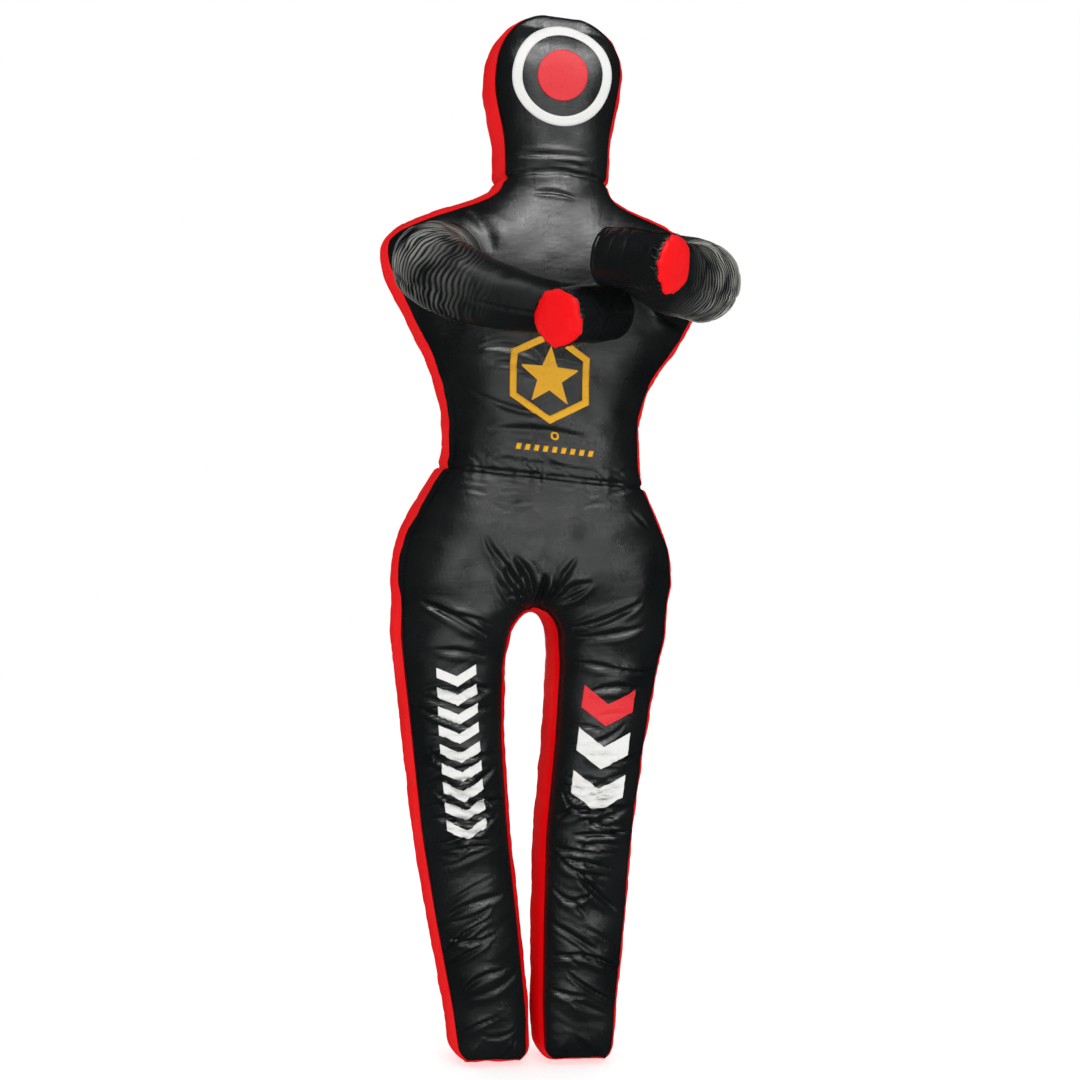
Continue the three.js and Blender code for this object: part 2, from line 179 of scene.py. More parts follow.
def crossings(edges, axis, value):
    """Where these edges cross a value on an axis."""
    a, b = edges
    crossing = (a[:, axis] - value) * (b[:, axis] - value) < 0
    a, b = a[crossing], b[crossing]
    share = ((value - a[:, axis]) / (b[:, axis] - a[:, axis]))[:, None]
    return a + share * (b - a)


def section_box(edges, height):
    """Lowest and highest x and y where these edges cross a height."""
    points = crossings(edges, 2, height)[:, :2]
    return points.min(axis=0), points.max(axis=0)


def lowest_middle(name):
    """The lowest point of a node on its own middle plane."""
    low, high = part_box(name)
    return crossings(edges_of([name]), 0, (low.x + high.x) / 2)[:, 2].min()


GUSSET_LOW = lowest_middle("crotch_gusset")
CROTCH = GUSSET_LOW - BULGE
HIP_TOP = JOINTS["left_hip_bend"]["pos_m"][2] - 0.01


def read_outline(names, low, high):
    """Heights, lowest x, highest x and half depth of these nodes, smoothed over a few centimetres."""
    edges = edges_of(names)
    heights = np.arange(low, high, 0.005)
    lows, highs = np.array([section_box(edges, height) for height in heights]).transpose(1, 2, 0)
    return heights, smooth(lows[0], 12), smooth(highs[0], 12), smooth((highs[1] - lows[1]) / 2, 12)


ARM_WORDS = ("upper_arm", "forearm", "hand", "elbow", "shoulder")


def outer_nodes(*words):
    """The nodes of these sections that make up their surface, without arms and zip."""
    hidden = ARM_WORDS + ("filling", "zip")
    return [n for n in NODES if any(w in n for w in words) and not any(w in n for w in hidden)]


def leg_nodes(side):
    return [n for n in outer_nodes("thigh", "shin", "knee", "hip_fold") if n.startswith(side)]


BODY_NODES = outer_nodes("hip", "crotch", "waist", "torso", "neck", "head")
TOP = max(edges_of(["head_gusset"])[0][:, 2])
LEFT_LEG = read_outline(leg_nodes("left"), 0.002, HIP_TOP)
RIGHT_LEG = read_outline(leg_nodes("right"), 0.002, HIP_TOP)
BODY = read_outline(BODY_NODES, GUSSET_LOW + 0.002, TOP)

CROWN = TOP - BULGE
HEIGHTS = np.concatenate([LEFT_LEG[0], BODY[0]])
DEPTHS = smooth(np.concatenate([LEFT_LEG[3], BODY[3]]), 20)
LEG_MIDDLES = (RIGHT_LEG[1] + LEFT_LEG[2]) / 2
MIDDLES = smooth(np.concatenate([LEG_MIDDLES, (BODY[1] + BODY[2]) / 2]), 20)

STRIP_NODES = ["left_shin_and_sole_gusset", "left_thigh_outer_gusset", "left_hip_gusset",
               "left_torso_gusset", "head_gusset"]
STRIP_HALVES = [((low.z + high.z) / 2, (high.y - low.y) / 2) for low, high in map(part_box, STRIP_NODES)]


def middle(z):
    """The x of the figure's own middle line, which the settled stuffing has bent."""
    return np.interp(z, HEIGHTS, MIDDLES)


def strip_half(z):
    return np.interp(z, *np.transpose(STRIP_HALVES))


def half_depth(z):
    return np.maximum(np.interp(z, HEIGHTS, DEPTHS), strip_half(z) + LEAST_RISE)


def on_trunk(z):
    """1 on the hips and torso, 0 on the legs, neck and head."""
    return step_up(z, CROTCH - 0.08, CROTCH + 0.08) * step_down(z, *SHOULDERS)


def seam_lines(z, out_x):
    """The y of the front and back seam at a height, for the side of the outline that faces out_x."""
    turn = TURN * (0.3 + 0.7 * on_trunk(z)) * out_x
    return -strip_half(z) - turn, strip_half(z) - turn


def corner_inset(distance, radius):
    """How far a rounded corner has drawn in at this distance from its end."""
    share = 1 - np.clip(distance / radius, 0, 1)
    return radius * (1 - np.sqrt(1 - share * share))


LEG_INNER = LEFT_LEG[1] - LEG_MIDDLES
OUTER = smooth(np.concatenate([LEFT_LEG[2] - LEG_MIDDLES, (BODY[2] - BODY[1]) / 2]), 4)


def leg_inner(z):
    side = np.interp(z, LEFT_LEG[0], LEG_INNER) + BULGE + corner_inset(z, FOOT_CORNER)
    rise = np.clip((z - (CROTCH - ARCH_HEIGHT)) / ARCH_HEIGHT, 0, 1)
    top = np.interp(CROTCH - ARCH_HEIGHT, LEFT_LEG[0], LEG_INNER) + BULGE
    return np.where(rise > 0, top * np.sqrt(1 - rise * rise), side)


def outer_half(z):
    """From the figure's middle line to its outer seams."""
    corners = corner_inset(z, FOOT_CORNER) + corner_inset(CROWN - z, CROWN_CORNER)
    return np.interp(z, HEIGHTS, OUTER) - BULGE - corners


def rows_between(low, high, edges):
    """Heights from low to high, spaced so that no outline moves more than about STEP per row."""
    fine = np.linspace(low, high, 4000)
    move = [np.abs(np.diff(edge(fine))) for edge in edges]
    run = np.concatenate([[0], np.cumsum(np.hypot(np.diff(fine), np.max(move, axis=0)))])
    count = max(2, round(run[-1] / STEP))
    rows = np.interp(np.linspace(0, run[-1], count + 1), run, fine)
    rows[0], rows[-1] = low, high
    return rows


SOLE = BULGE + 0.002
LEG_EDGES = (leg_inner, outer_half)
LEG_ROWS = [rows_between(SOLE, LEG_SPLIT, LEG_EDGES), rows_between(LEG_SPLIT, CROTCH, LEG_EDGES)]
BODY_CUTS = [CROTCH, WAIST_SEAM, NECK_SEAM, CROWN]
BODY_ROWS = [rows_between(a, b, (outer_half,)) for a, b in zip(BODY_CUTS, BODY_CUTS[1:])]


def joined(stretches):
    return np.concatenate([stretches[0]] + [rows[1:] for rows in stretches[1:]])


def column_shares():
    """0 to 1 across a half panel, closer together towards both seams."""
    even = np.linspace(0, 1, COLUMNS + 1)
    return even - 0.3 * np.sin(2 * np.pi * even) / (2 * np.pi)


# ---------- the outline as one closed line ----------
def outline_points():
    """The closed line of the seams in (x, z): up the right, over the crown, down the left, and the soles
    and inner legs. It is the left half and its mirror image."""
    leg, body = joined(LEG_ROWS), joined(BODY_ROWS)
    shares = column_shares()
    sole = leg_inner(SOLE) + shares * (outer_half(SOLE) - leg_inner(SOLE))
    left = [
        (shares * outer_half(CROWN), np.full(len(shares), CROWN)),
        (outer_half(body)[::-1], body[::-1]),
        (outer_half(leg)[::-1], leg[::-1]),
        (sole[::-1], np.full(len(sole), SOLE)),
        (leg_inner(leg), leg),
    ]
    x = np.concatenate([left[0][0]] + [part[0][1:] for part in left[1:]])
    z = np.concatenate([left[0][1]] + [part[1][1:] for part in left[1:]])
    half = np.stack([x, z], axis=1)
    mirrored = half[::-1] * (-1, 1)
    first = len(leg) + len(sole) - 2  # the corner of the right sole
    return np.concatenate([mirrored[first:], half[1:], mirrored[1:first]])


LOOP = outline_points()


def loop_normals(points):
    ahead = np.roll(points, -1, axis=0) - np.roll(points, 1, axis=0)
    normal = np.stack([-ahead[:, 1], ahead[:, 0]], axis=1)
    for _ in range(3):
        normal = (np.roll(normal, 1, axis=0) + 2 * normal + np.roll(normal, -1, axis=0)) / 4
    return unit(normal)


LOOP_OUT = loop_normals(LOOP)
LOOP_RUN = run_along(LOOP)
LOOP_PARTS = 6  # extra points between two outline points when distances are measured


def seam_tree():
    ahead = np.roll(LOOP, -1, axis=0)
    shares = np.arange(LOOP_PARTS) / LOOP_PARTS
    points = (LOOP[:, None] + (ahead - LOOP)[:, None] * shares[None, :, None]).reshape(-1, 2)
    tree = kdtree.KDTree(len(points))
    for i, (x, z) in enumerate(points):
        tree.insert((x, 0, z), i)
    tree.balance()
    return tree


SEAM_TREE = seam_tree()


def seam_place(x, z):
    """For each place: its distance from the outline, how far along the outline the nearest point is,
    and the way out there."""
    found = np.array([SEAM_TREE.find((a, 0, b))[1:] for a, b in zip(x, z)])
    nearest = found[:, 0].astype(int) // LOOP_PARTS
    return found[:, 1], LOOP_RUN[nearest], LOOP_OUT[nearest]


# ---------- the skin ----------
FRONT, BACK, STRIP = 0, 1, 2


def pillow(x, z, side):
    """Places of the front (side -1) or back panel over (x, z). Where its seam faces the right, the
    stuffing presses the front panel's edge out over it."""
    away, _, out = seam_place(x, z)
    leg_half = (outer_half(z) - leg_inner(z)) / 2
    width = np.where(z < CROTCH, np.minimum(EDGE_ROUND, 0.96 * leg_half), EDGE_ROUND)
    share = 1 - np.clip(away / width, 0, 1)
    rise = np.sqrt(np.clip(1 - share ** EDGE_POWER, 0, 1))
    edge = seam_lines(z, out[:, 0])[0 if side < 0 else 1]
    depth = edge + (side * half_depth(z) - edge) * rise
    over = np.zeros(len(x))
    if side < 0:
        facing = np.clip(np.maximum(-out[:, 0], 0.8 * out[:, 1] * (z < NECK_SEAM)), 0, 1)
        over = (TRUNK_OVERHANG * on_trunk(z) + HEAD_OVERHANG * step_up(z, 1.5, 1.6)) * facing
        over *= (1 - fade(away, 0.003)) * bell(away, 0.035)
    return np.stack([x + over * out[:, 0], depth, z + over * out[:, 1]], axis=1)


class Skin:
    """Gathers grids of points and faces, with a section and a region for each face."""

    def __init__(self):
        self.points, self.faces, self.sections, self.regions = [], [], [], []
        self.count = 0

    def add_grid(self, points, rows, columns, flip, section, region):
        faces = grid_faces(rows, columns, flip) + self.count
        self.points.append(points)
        self.faces.append(faces)
        self.sections += [section] * len(faces)
        self.regions += [region] * len(faces)
        self.count += len(points)

    def merged(self):
        points = np.concatenate(self.points)
        keys = np.round(points * 1e6).astype(np.int64)
        _, first, back = np.unique(keys, axis=0, return_index=True, return_inverse=True)
        return points[first], back.reshape(-1)[np.concatenate(self.faces)]


def body_shares():
    """0 to 1 across a whole panel, closer together towards both seams and the middle."""
    half = column_shares() / 2
    return np.concatenate([0.5 - half[::-1], 0.5 + half[1:]])


def add_panels(skin, rows, low, high, section, shares):
    """A front and a back panel over rows of heights, between two outlines given at those rows."""
    x = (low[:, None] + (high - low)[:, None] * shares[None, :]).ravel()
    z = np.repeat(rows, len(shares))
    for side, region in ((-1, FRONT), (1, BACK)):
        skin.add_grid(pillow(x, z, side), len(rows), len(shares), side > 0, section, region)


def add_strip(skin):
    """The gusset: the whole outline swept from the front seam to the back seam."""
    loop = np.concatenate([LOOP, LOOP[:1]])
    out = np.concatenate([LOOP_OUT, LOOP_OUT[:1]])
    shares = np.linspace(-1, 1, STRIP_COLUMNS + 1)
    flattened = 0.8 * step_up(loop[:, 1], 1.6, 1.7) * np.clip(out[:, 1], 0, 1)
    swell = BULGE * (1 - flattened[:, None]) * (1 - shares ** 2)
    x = loop[:, 0, None] + out[:, 0, None] * swell
    z = loop[:, 1, None] + out[:, 1, None] * swell
    front, back = seam_lines(loop[:, 1], out[:, 0])
    y = front[:, None] + (back - front)[:, None] * (1 + shares) / 2
    for i in range(len(loop) - 1):
        halfway = (loop[i] + loop[i + 1]) / 2
        pair = np.stack([x[i : i + 2], y[i : i + 2], z[i : i + 2]], axis=2).reshape(-1, 3)
        skin.add_grid(pair, 2, STRIP_COLUMNS + 1, True, section_at(*halfway), STRIP)


BODY_SECTIONS = ("hips", "torso", "head")


def section_at(x, z):
    if z < CROTCH:
        side = "right" if x < 0 else "left"
        return side + ("_shin" if z < LEG_SPLIT else "_thigh")
    return BODY_SECTIONS[sum(z > cut for cut in BODY_CUTS[1:3])]


def build_skin():
    skin = Skin()
    for side, sign in SIDES.items():
        for part, rows in zip(("_shin", "_thigh"), LEG_ROWS):
            low, high = sorted((sign * leg_inner(rows), sign * outer_half(rows)), key=np.sum)
            add_panels(skin, rows, low, high, side + part, column_shares())
    for section, rows in zip(BODY_SECTIONS, BODY_ROWS):
        add_panels(skin, rows, -outer_half(rows), outer_half(rows), section, body_shares())
    add_strip(skin)
    return skin


SKIN = build_skin()
POINTS, FACES = SKIN.merged()
FACE_SECTIONS = np.array(SKIN.sections)
FACE_REGIONS = np.array(SKIN.regions)


def mesh_of(name, points, faces):
    mesh = bpy.data.meshes.new(name)
    mesh.from_pydata(points, [], faces)
    mesh.update()
    return mesh


def normals_of(points, faces):
    mesh = mesh_of("scratch", points.tolist(), faces.tolist())
    normals = np.zeros(len(points) * 3, np.float32)
    mesh.vertices.foreach_get("normal", normals)
    bpy.data.meshes.remove(mesh)
    return normals.reshape(-1, 3).astype(float)


# ---------- wrinkles ----------
def fold(x, z, start, end, bow, depth, width):
    """One crease from start to end: a valley between two soft ridges that fades at both ends."""
    start, end = np.array(start), np.array(end)
    length = np.linalg.norm(end - start)
    way_x, way_z = (end - start) / length
    along = ((x - start[0]) * way_x + (z - start[1]) * way_z) / length
    inside = np.clip(4 * along * (1 - along), 0, 1)
    across = (z - start[1]) * way_x - (x - start[0]) * way_z - bow * inside
    sharp = width * (0.55 + 0.45 * inside)
    valley = -bell(across, sharp)
    shoulders = 0.5 * bell(np.abs(across) - 2.1 * sharp, 1.5 * sharp)
    return depth * np.sqrt(inside) * (valley + shoulders)


def folds(x, z, creases):
    """All creases together; each is only worked out near itself."""
    total = np.zeros(len(x))
    for start, end, bow, depth, width in creases:
        reach = 5 * width + abs(bow)
        middle_x, middle_z = (start[0] + end[0]) / 2, (start[1] + end[1]) / 2
        near = np.abs(x - middle_x) < abs(end[0] - start[0]) / 2 + reach
        near &= np.abs(z - middle_z) < abs(end[1] - start[1]) / 2 + reach
        total[near] += fold(x[near], z[near], start, end, bow, depth, width)
    return total


def leg_creases(rng, sign, count):
    """Creases across a leg's panel: closest together at the knee, and dragged down outwards below it."""
    knee = JOINTS["left_knee_bend"]["pos_m"][2]
    creases = []
    for _ in range(count):
        at_knee = rng.random() < 0.4
        z = rng.normal(knee, 0.05) if at_knee else rng.uniform(0.05, 0.7)
        inner, outer = leg_inner(z), outer_half(z)
        first = inner + (outer - inner) * rng.uniform(0.0, 0.5)
        last = min(outer, first + rng.uniform(0.05, 0.13))
        fall = -0.5 if z < knee - 0.05 else 0.0
        drop = rng.normal(fall, 0.28) * (last - first)
        start, end = (sign * first, z), (sign * last, z + drop)
        depth, width = rng.uniform(0.0012, 0.0042), rng.uniform(0.0024, 0.0056)
        creases.append((start, end, rng.normal(0, 0.008), depth, width))
    return creases


def crotch_creases(rng, count):
    """Creases that fan out upwards from the crotch."""
    creases = []
    for i in range(count):
        angle = math.radians(rng.uniform(15, 75) if i % 2 else rng.uniform(105, 165))
        near, far = rng.uniform(0.008, 0.03), rng.uniform(0.05, 0.11)
        way = np.array([math.cos(angle), math.sin(angle)])
        centre = np.array([0, CROTCH])
        creases.append((
            tuple(centre + near * way), tuple(centre + far * way), rng.normal(0, 0.006),
            rng.uniform(0.0012, 0.0032), rng.uniform(0.0038, 0.0065),
        ))
    return creases


def waist_creases(rng, count):
    """Short, shallow, nearly level creases beside the waist seam."""
    creases = []
    for _ in range(count):
        z = WAIST_SEAM + rng.normal(0, 0.035)
        half = 0.9 * outer_half(z)
        x, length = rng.uniform(-half, half), rng.uniform(0.02, 0.08)
        angle = rng.normal(0, 0.25)
        start = (x - length / 2 * math.cos(angle), z - length / 2 * math.sin(angle))
        end = (x + length / 2 * math.cos(angle), z + length / 2 * math.sin(angle))
        depth, width = rng.uniform(0.0005, 0.0014), rng.uniform(0.0015, 0.003)
        creases.append((start, end, rng.normal(0, 0.006), depth, width))
    return creases


FRONT_CREASES = [
    # hip creases over the thighs
    ((-0.196, 0.79), (-0.085, 0.735), 0.004, 0.0042, 0.005),
    ((-0.15, 0.775), (-0.075, 0.752), 0.002, 0.0026, 0.004),
    ((-0.17, 0.712), (-0.085, 0.70), 0.004, 0.0026, 0.0045),
    ((0.06, 0.75), (0.172, 0.797), -0.006, 0.0042, 0.005),
    ((0.07, 0.735), (0.18, 0.757), -0.004, 0.0026, 0.0045),
    ((0.06, 0.69), (0.15, 0.676), 0.006, 0.0024, 0.004),
    # from the crotch up towards the hips
    ((-0.085, 0.865), (-0.03, 0.80), 0.004, 0.0036, 0.0042),
    ((-0.078, 0.87), (-0.018, 0.795), 0.003, 0.003, 0.0038),
    ((-0.1, 0.9), (-0.055, 0.852), -0.005, 0.0022, 0.004),
    ((0.006, 0.84), (-0.004, 0.792), 0.003, 0.004, 0.0045),
    ((0.04, 0.835), (0.012, 0.795), -0.003, 0.003, 0.004),
    ((0.08, 0.82), (0.022, 0.79), 0.003, 0.003, 0.004),
    # belly
    ((-0.12, 1.2), (-0.01, 1.19), 0.014, 0.0017, 0.006),
    ((-0.1, 1.175), (-0.03, 1.165), 0.01, 0.0014, 0.005),
    ((-0.02, 1.19), (0.08, 1.178), 0.006, 0.0012, 0.004),
    ((-0.13, 1.13), (0.0, 1.105), -0.008, 0.0018, 0.005),
    ((-0.1, 1.07), (0.06, 1.075), 0.004, 0.0018, 0.006),
    ((-0.11, 1.02), (0.1, 1.015), 0.003, 0.0016, 0.006),
    # armpits and chest
    ((-0.235, 1.27), (-0.16, 1.32), 0.004, 0.003, 0.006),
    ((0.235, 1.27), (0.16, 1.31), 0.004, 0.003, 0.006),
    ((-0.145, 1.435), (-0.105, 1.365), 0.008, 0.0016, 0.012),
    # neck
    ((-0.095, 1.529), (0.06, 1.535), 0.004, 0.0026, 0.0036),
    ((-0.02, 1.522), (0.055, 1.515), 0.004, 0.0018, 0.0036),
    ((-0.035, 1.515), (0.04, 1.506), 0.004, 0.0014, 0.0034),
    ((-0.04, 1.473), (0.03, 1.467), 0.004, 0.0018, 0.003),
]


LEG_CREASES, CROTCH_CREASES, WAIST_CREASES = 58, 12, 36
CREASE_STRENGTH = 1.6


def panel_relief(x, z, away, seed):
    """Lumps, ripples and creases of a front or back panel, outwards in metres."""
    rng = np.random.default_rng(SEED + seed)
    creases = [crease for sign in (-1, 1) for crease in leg_creases(rng, sign, LEG_CREASES)]
    creases += crotch_creases(rng, CROTCH_CREASES) + waist_creases(rng, WAIST_CREASES)
    if seed == FRONT:
        creases += FRONT_CREASES
    lumps = 0.0034 * noise_at(x / 0.085, 0, z / 0.07, seed + 1)
    lumps += 0.0011 * noise_at(x / 0.036, 0, z / 0.026, seed + 2)
    on_leg = step_down(z, *UPPER_LEGS)
    dragged = z + 0.3 * np.abs(x)
    lumps += 0.0016 * on_leg * noise_at(x / 0.11, 0, dragged / 0.028, seed + 3)
    patch = step_up(noise_at(x / 0.07, 0, z / 0.09, seed + 4), -0.2, 0.6)
    ripples = 0.0011 * on_leg * patch * ridges(x / 0.06, 0, (dragged + 0.3 * np.abs(x)) / 0.014, seed + 5)
    folded = CREASE_STRENGTH * folds(x, z, creases)
    return (lumps + ripples) * (1 - fade(away, 0.02)) + folded * (1 - fade(away, 0.007))


def puckers(along, away, short, long, seed):
    """What a seam's thread pulls in: short and long puckers, each given as its width and its reach."""
    fine = noise_at(along / short[0], 0, 0, seed) * fade(away, short[1])
    return 0.0012 * fine + 0.0022 * noise_at(along / long[0], 0, 0, seed + 1) * fade(away, long[1])


def seam_relief(along, away, seed):
    """The groove and puckers of the seam along a panel's edge, by distance from it."""
    depth = puckers(along, away, (0.0085, 0.009), (0.021, 0.024), seed)
    groove = -0.0022 * bell(away, 0.0035) - 0.0016 * fade(away, 0.012)
    return depth * (1 - fade(away, 0.006)) + groove


def cross_seam(x, away, gathered, seed):
    """Groove and puckers of a level seam across the body, by how gathered its cloth is."""
    relief = puckers(x, away, (0.009, 0.011), (0.028, 0.03), seed)
    return gathered * (relief - 0.0038 * fade(away, 0.018)) - 0.0056 * bell(away, 0.0036)


ARM_ROOTS = {}
for _side in SIDES:
    _low, _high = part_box(_side + "_shoulder_fold")
    ARM_ROOTS[_side] = ((_low.x + _high.x) / 2 - AXIS_X, (_low.z + _high.z) / 2, (_high.z - _low.z) / 2)


def zip_placket(x, y, z):
    """1 on the flat patch round the zip, 0 beyond it; and how far in the patch lies."""
    half = (ZIP_HIGH.x - ZIP_LOW.x) / 2
    across = step_down(np.abs(x), half + 0.004, half + 0.02)
    along = step_up(z, ZIP_LOW.z - 0.02, ZIP_LOW.z - 0.002)
    along *= step_down(z, ZIP_HIGH.z + 0.002, ZIP_HIGH.z + 0.02)
    return np.where(y > 0, across * along, 0), -0.0024 * step_down(np.abs(x), half - 0.001, half + 0.003)


def body_relief(points):
    """How far each skin point moves along its normal."""
    x, y, z = points.T
    away, along, out = seam_place(x, z)
    front, back = seam_lines(z, out[:, 0])
    relief = np.zeros(len(x))
    on_front, on_back = y <= front + 1e-4, y >= back - 1e-4
    for region, chosen in ((FRONT, on_front), (BACK, on_back)):
        relief[chosen] = panel_relief(x[chosen], z[chosen], away[chosen], region)
        relief[chosen] += seam_relief(along[chosen], away[chosen], 40 + region)
    strip = ~(on_front | on_back)
    from_seam = np.minimum(y - front, back - y)[strip]
    relief[strip] = seam_relief(along[strip], from_seam, 50)
    soft = noise_at(along[strip] / 0.03, y[strip] / 0.05, 0, 52)
    crinkle = ridges(along[strip] / 0.016, y[strip] / 0.06, 0, 53)
    relief[strip] += (0.0012 * soft + 0.0009 * crinkle) * (1 - fade(from_seam, 0.014))
    relief *= 1 - 0.9 * step_up(z, CROWN - 0.03, CROWN - 0.002)  # the crown is stuffed tight
    for height, bow, gathered, seed in ((WAIST_SEAM, 0.0, 1.0, 60), (NECK_SEAM, 0.014, 0.4, 64)):
        near = np.abs(z - height) < 0.08
        from_seam = np.abs(z[near] - height - bow * (1 - (x[near] / 0.1) ** 2))
        relief[near] += cross_seam(x[near], from_seam, gathered, seed)
    for centre_x, centre_z, radius in ARM_ROOTS.values():
        ring = np.hypot(x - centre_x, z - centre_z) - radius
        relief -= np.where(y < 0, 0.005 * fade(np.abs(ring), 0.012), 0)
    placket, level = zip_placket(x, y, z)
    return relief * (1 - placket) + level * placket


def settled(x, z):
    """Where (x, z) of the level, upright figure comes in the row frame."""
    return x + middle(z), z - slope(z) * x


SHAPED = POINTS + normals_of(POINTS, FACES) * body_relief(POINTS)[:, None]
SHAPED[:, 0], SHAPED[:, 2] = settled(SHAPED[:, 0], SHAPED[:, 2])
SHAPED[:, 1] += AXIS_Y
SHAPED[:, 2] = np.maximum(SHAPED[:, 2], 0.0)
SHAPED_NORMALS = normals_of(SHAPED, FACES)


# ---------- materials ----------
class Look:
    """A material and the shader nodes it is built from."""

    def __init__(self, name, color, roughness, gloss=0.5):
        self.made = bpy.data.materials.new(name)
        self.made.use_nodes = True
        self.shader = self.made.node_tree.nodes["Principled BSDF"]
        self.show({"Base Color": (*color, 1), "Roughness": roughness, "Specular IOR Level": gloss})

    def fill(self, node, inputs):
        """Gives each input its value, or links it to the output of another node."""
        for key, value in inputs.items():
            if isinstance(value, bpy.types.NodeSocket):
                self.made.node_tree.links.new(value, node.inputs[key])
            else:
                node.inputs[key].default_value = value

    def show(self, inputs):
        self.fill(self.shader, inputs)

    def node(self, kind, output, inputs, **settings):
        """An output of a new node."""
        node = self.made.node_tree.nodes.new("ShaderNode" + kind)
        for key, value in settings.items():
            setattr(node, key, value)
        self.fill(node, inputs)
        return node.outputs[output]

    def place_on(self, name):
        return self.node("UVMap", "UV", {}, uv_map=name)

    def place_in_object(self):
        return self.node("TexCoord", "Object", {})

    def noise(self, where, scale, detail, stretch=(1, 1, 1)):
        where = self.node("Mapping", "Vector", {"Vector": where, "Scale": stretch})
        return self.node("TexNoise", "Fac", {"Vector": where, "Scale": scale, "Detail": detail})

    def threads(self, where, direction, period):
        inputs = {"Vector": where, "Scale": 2 * math.pi / (20 * period), "Distortion": 0.6}
        inputs.update({"Detail": 1, "Detail Scale": 1.5})
        return self.node("TexWave", "Fac", inputs, bands_direction=direction)

    def ranged(self, value, low, high, from_low=0.3, from_high=0.7):
        inputs = {"From Min": from_low, "From Max": from_high, "To Min": low, "To Max": high}
        return self.node("MapRange", "Result", {"Value": value, **inputs})

    def mixed(self, factor, first, second):
        """A colour between two, of which the first can be another node's output."""
        return self.node("Mix", 2, {0: factor, 6: first, 7: (*second, 1)}, data_type="RGBA")

    def relief(self, *layers):
        """Bumps on top of each other, each given as its height's source and how far it rises."""
        normal = {}
        for height, rise in layers:
            inputs = {"Height": height, "Distance": rise, **normal}
            normal = {"Normal": self.node("Bump", "Normal", inputs)}
        self.show(normal)


WEAVE = 0.002  # thread spacing of the backing cloth that shows through


def leatherette(name, dark, light, roughness, gloss, weave_height):
    """Coated fabric: backing weave, pores, fine crumple, and handling marks in its gloss."""
    look = Look(name, dark, roughness[1], gloss)
    cloth = look.place_on("cloth")
    shade = look.mixed(look.ranged(look.noise(cloth, 9, 4), 0, 1), (*dark, 1), light)
    marks = look.noise(cloth, 22, 6, (1, 0.45, 1))
    look.show({"Base Color": shade, "Roughness": look.ranged(marks, *roughness)})
    across, upward = look.threads(cloth, "X", WEAVE), look.threads(cloth, "Y", WEAVE)
    weave = look.node("Math", 0, {0: across, 1: upward}, operation="MULTIPLY")
    pores = look.noise(cloth, 900, 2)
    crumple = look.noise(cloth, 60, 5, (0.55, 1.4, 1))
    look.relief((weave, weave_height), (pores, 0.00003), (crumple, 0.0006))
    return look, shade


BLACK_TONES = ((0.004, 0.0054, 0.0057), (0.0076, 0.0094, 0.0097))
RED_TONES = ((0.76, 0.002, 0.004), (0.86, 0.005, 0.008))
BLACK = leatherette("black_leatherette", *BLACK_TONES, (0.23, 0.35), 0.5, 0.00013)[0].made
RED = leatherette("red_leatherette", *RED_TONES, (0.34, 0.5), 0.09, 0.00005)[0].made


def sleeve_material():
    """The black cover, with a pale painted highlight on the ribs of an arm's bend, and glossiest there.
    The map "ribs" says how bright the painted highlight is, and how near the bend it is."""
    look, shade = leatherette("sleeve_leatherette", *BLACK_TONES, (0.28, 0.4), 0.3, 0.00012)
    parts = [look.node("SeparateXYZ", axis, {0: look.place_on("ribs")}) for axis in "XY"]
    # the pale colour mixed in by the ribs map is a painted highlight on the bend's ribs
    look.show({
        "Base Color": look.mixed(parts[0], shade, (0.5, 0.505, 0.46)),
        "Specular IOR Level": look.ranged(parts[1], 0.1, 0.5, 0, 1),
    })
    return look.made


def print_ink(name, dark, light):
    """Screen print with a mottled tone and a fine grain in its gloss and relief."""
    look = Look(name, light, 0.45, 0.25)
    cloth = look.place_on("cloth")
    tone = look.ranged(look.noise(cloth, 160, 5), 0, 1, 0.2, 0.45)
    grain = look.noise(cloth, 700, 3)
    shade = look.mixed(tone, (*dark, 1), light)
    look.show({"Base Color": shade, "Roughness": look.ranged(grain, 0.36, 0.6)})
    look.relief((grain, 0.0003))
    return look.made


def grained(name, color, roughness, grain, roughness_range, rise, metallic=0):
    """One colour, with a grain (scale, detail and stretch) in its gloss and relief."""
    look = Look(name, color, roughness)
    fibres = look.noise(look.place_in_object(), *grain)
    look.show({"Metallic": metallic, "Roughness": look.ranged(fibres, *roughness_range)})
    look.relief((fibres, rise))
    return look.made


def tape_material():
    look = Look("zip_tape", (0.01, 0.01, 0.011), 0.8)
    rib = look.threads(look.place_in_object(), "Z", 0.0011)
    look.show({"Base Color": look.mixed(rib, (0.006, 0.006, 0.007, 1), (0.02, 0.02, 0.021))})
    look.relief((rib, 0.0002))
    return look.made


SLEEVE = sleeve_material()
WHITE_INK = print_ink("white_print", (0.66, 0.66, 0.65), (0.76, 0.76, 0.74))
RED_INK = print_ink("red_print", (0.56, 0.008, 0.014), (0.72, 0.02, 0.028))
YELLOW_INK = print_ink("yellow_print", (0.68, 0.31, 0.006), (0.84, 0.42, 0.01))
THREAD = grained("stitch_thread", (0.012, 0.012, 0.013), 0.6, (2400, 2), (0.45, 0.75), 0.0003)
SCRATCHES = (500, 4, (1, 1, 0.1))
METAL = grained("zip_metal", (0.42, 0.43, 0.44), 0.32, SCRATCHES, (0.24, 0.42), 0.00008, metallic=1)
TAPE = tape_material()


# ---------- pieces ----------
def in_scene(thing):
    bpy.context.scene.collection.objects.link(thing)
    return thing


def linked(name, mesh, materials, slot):
    piece = in_scene(bpy.data.objects.new(name, mesh))
    for entry in materials:
        mesh.materials.append(entry)
    return piece


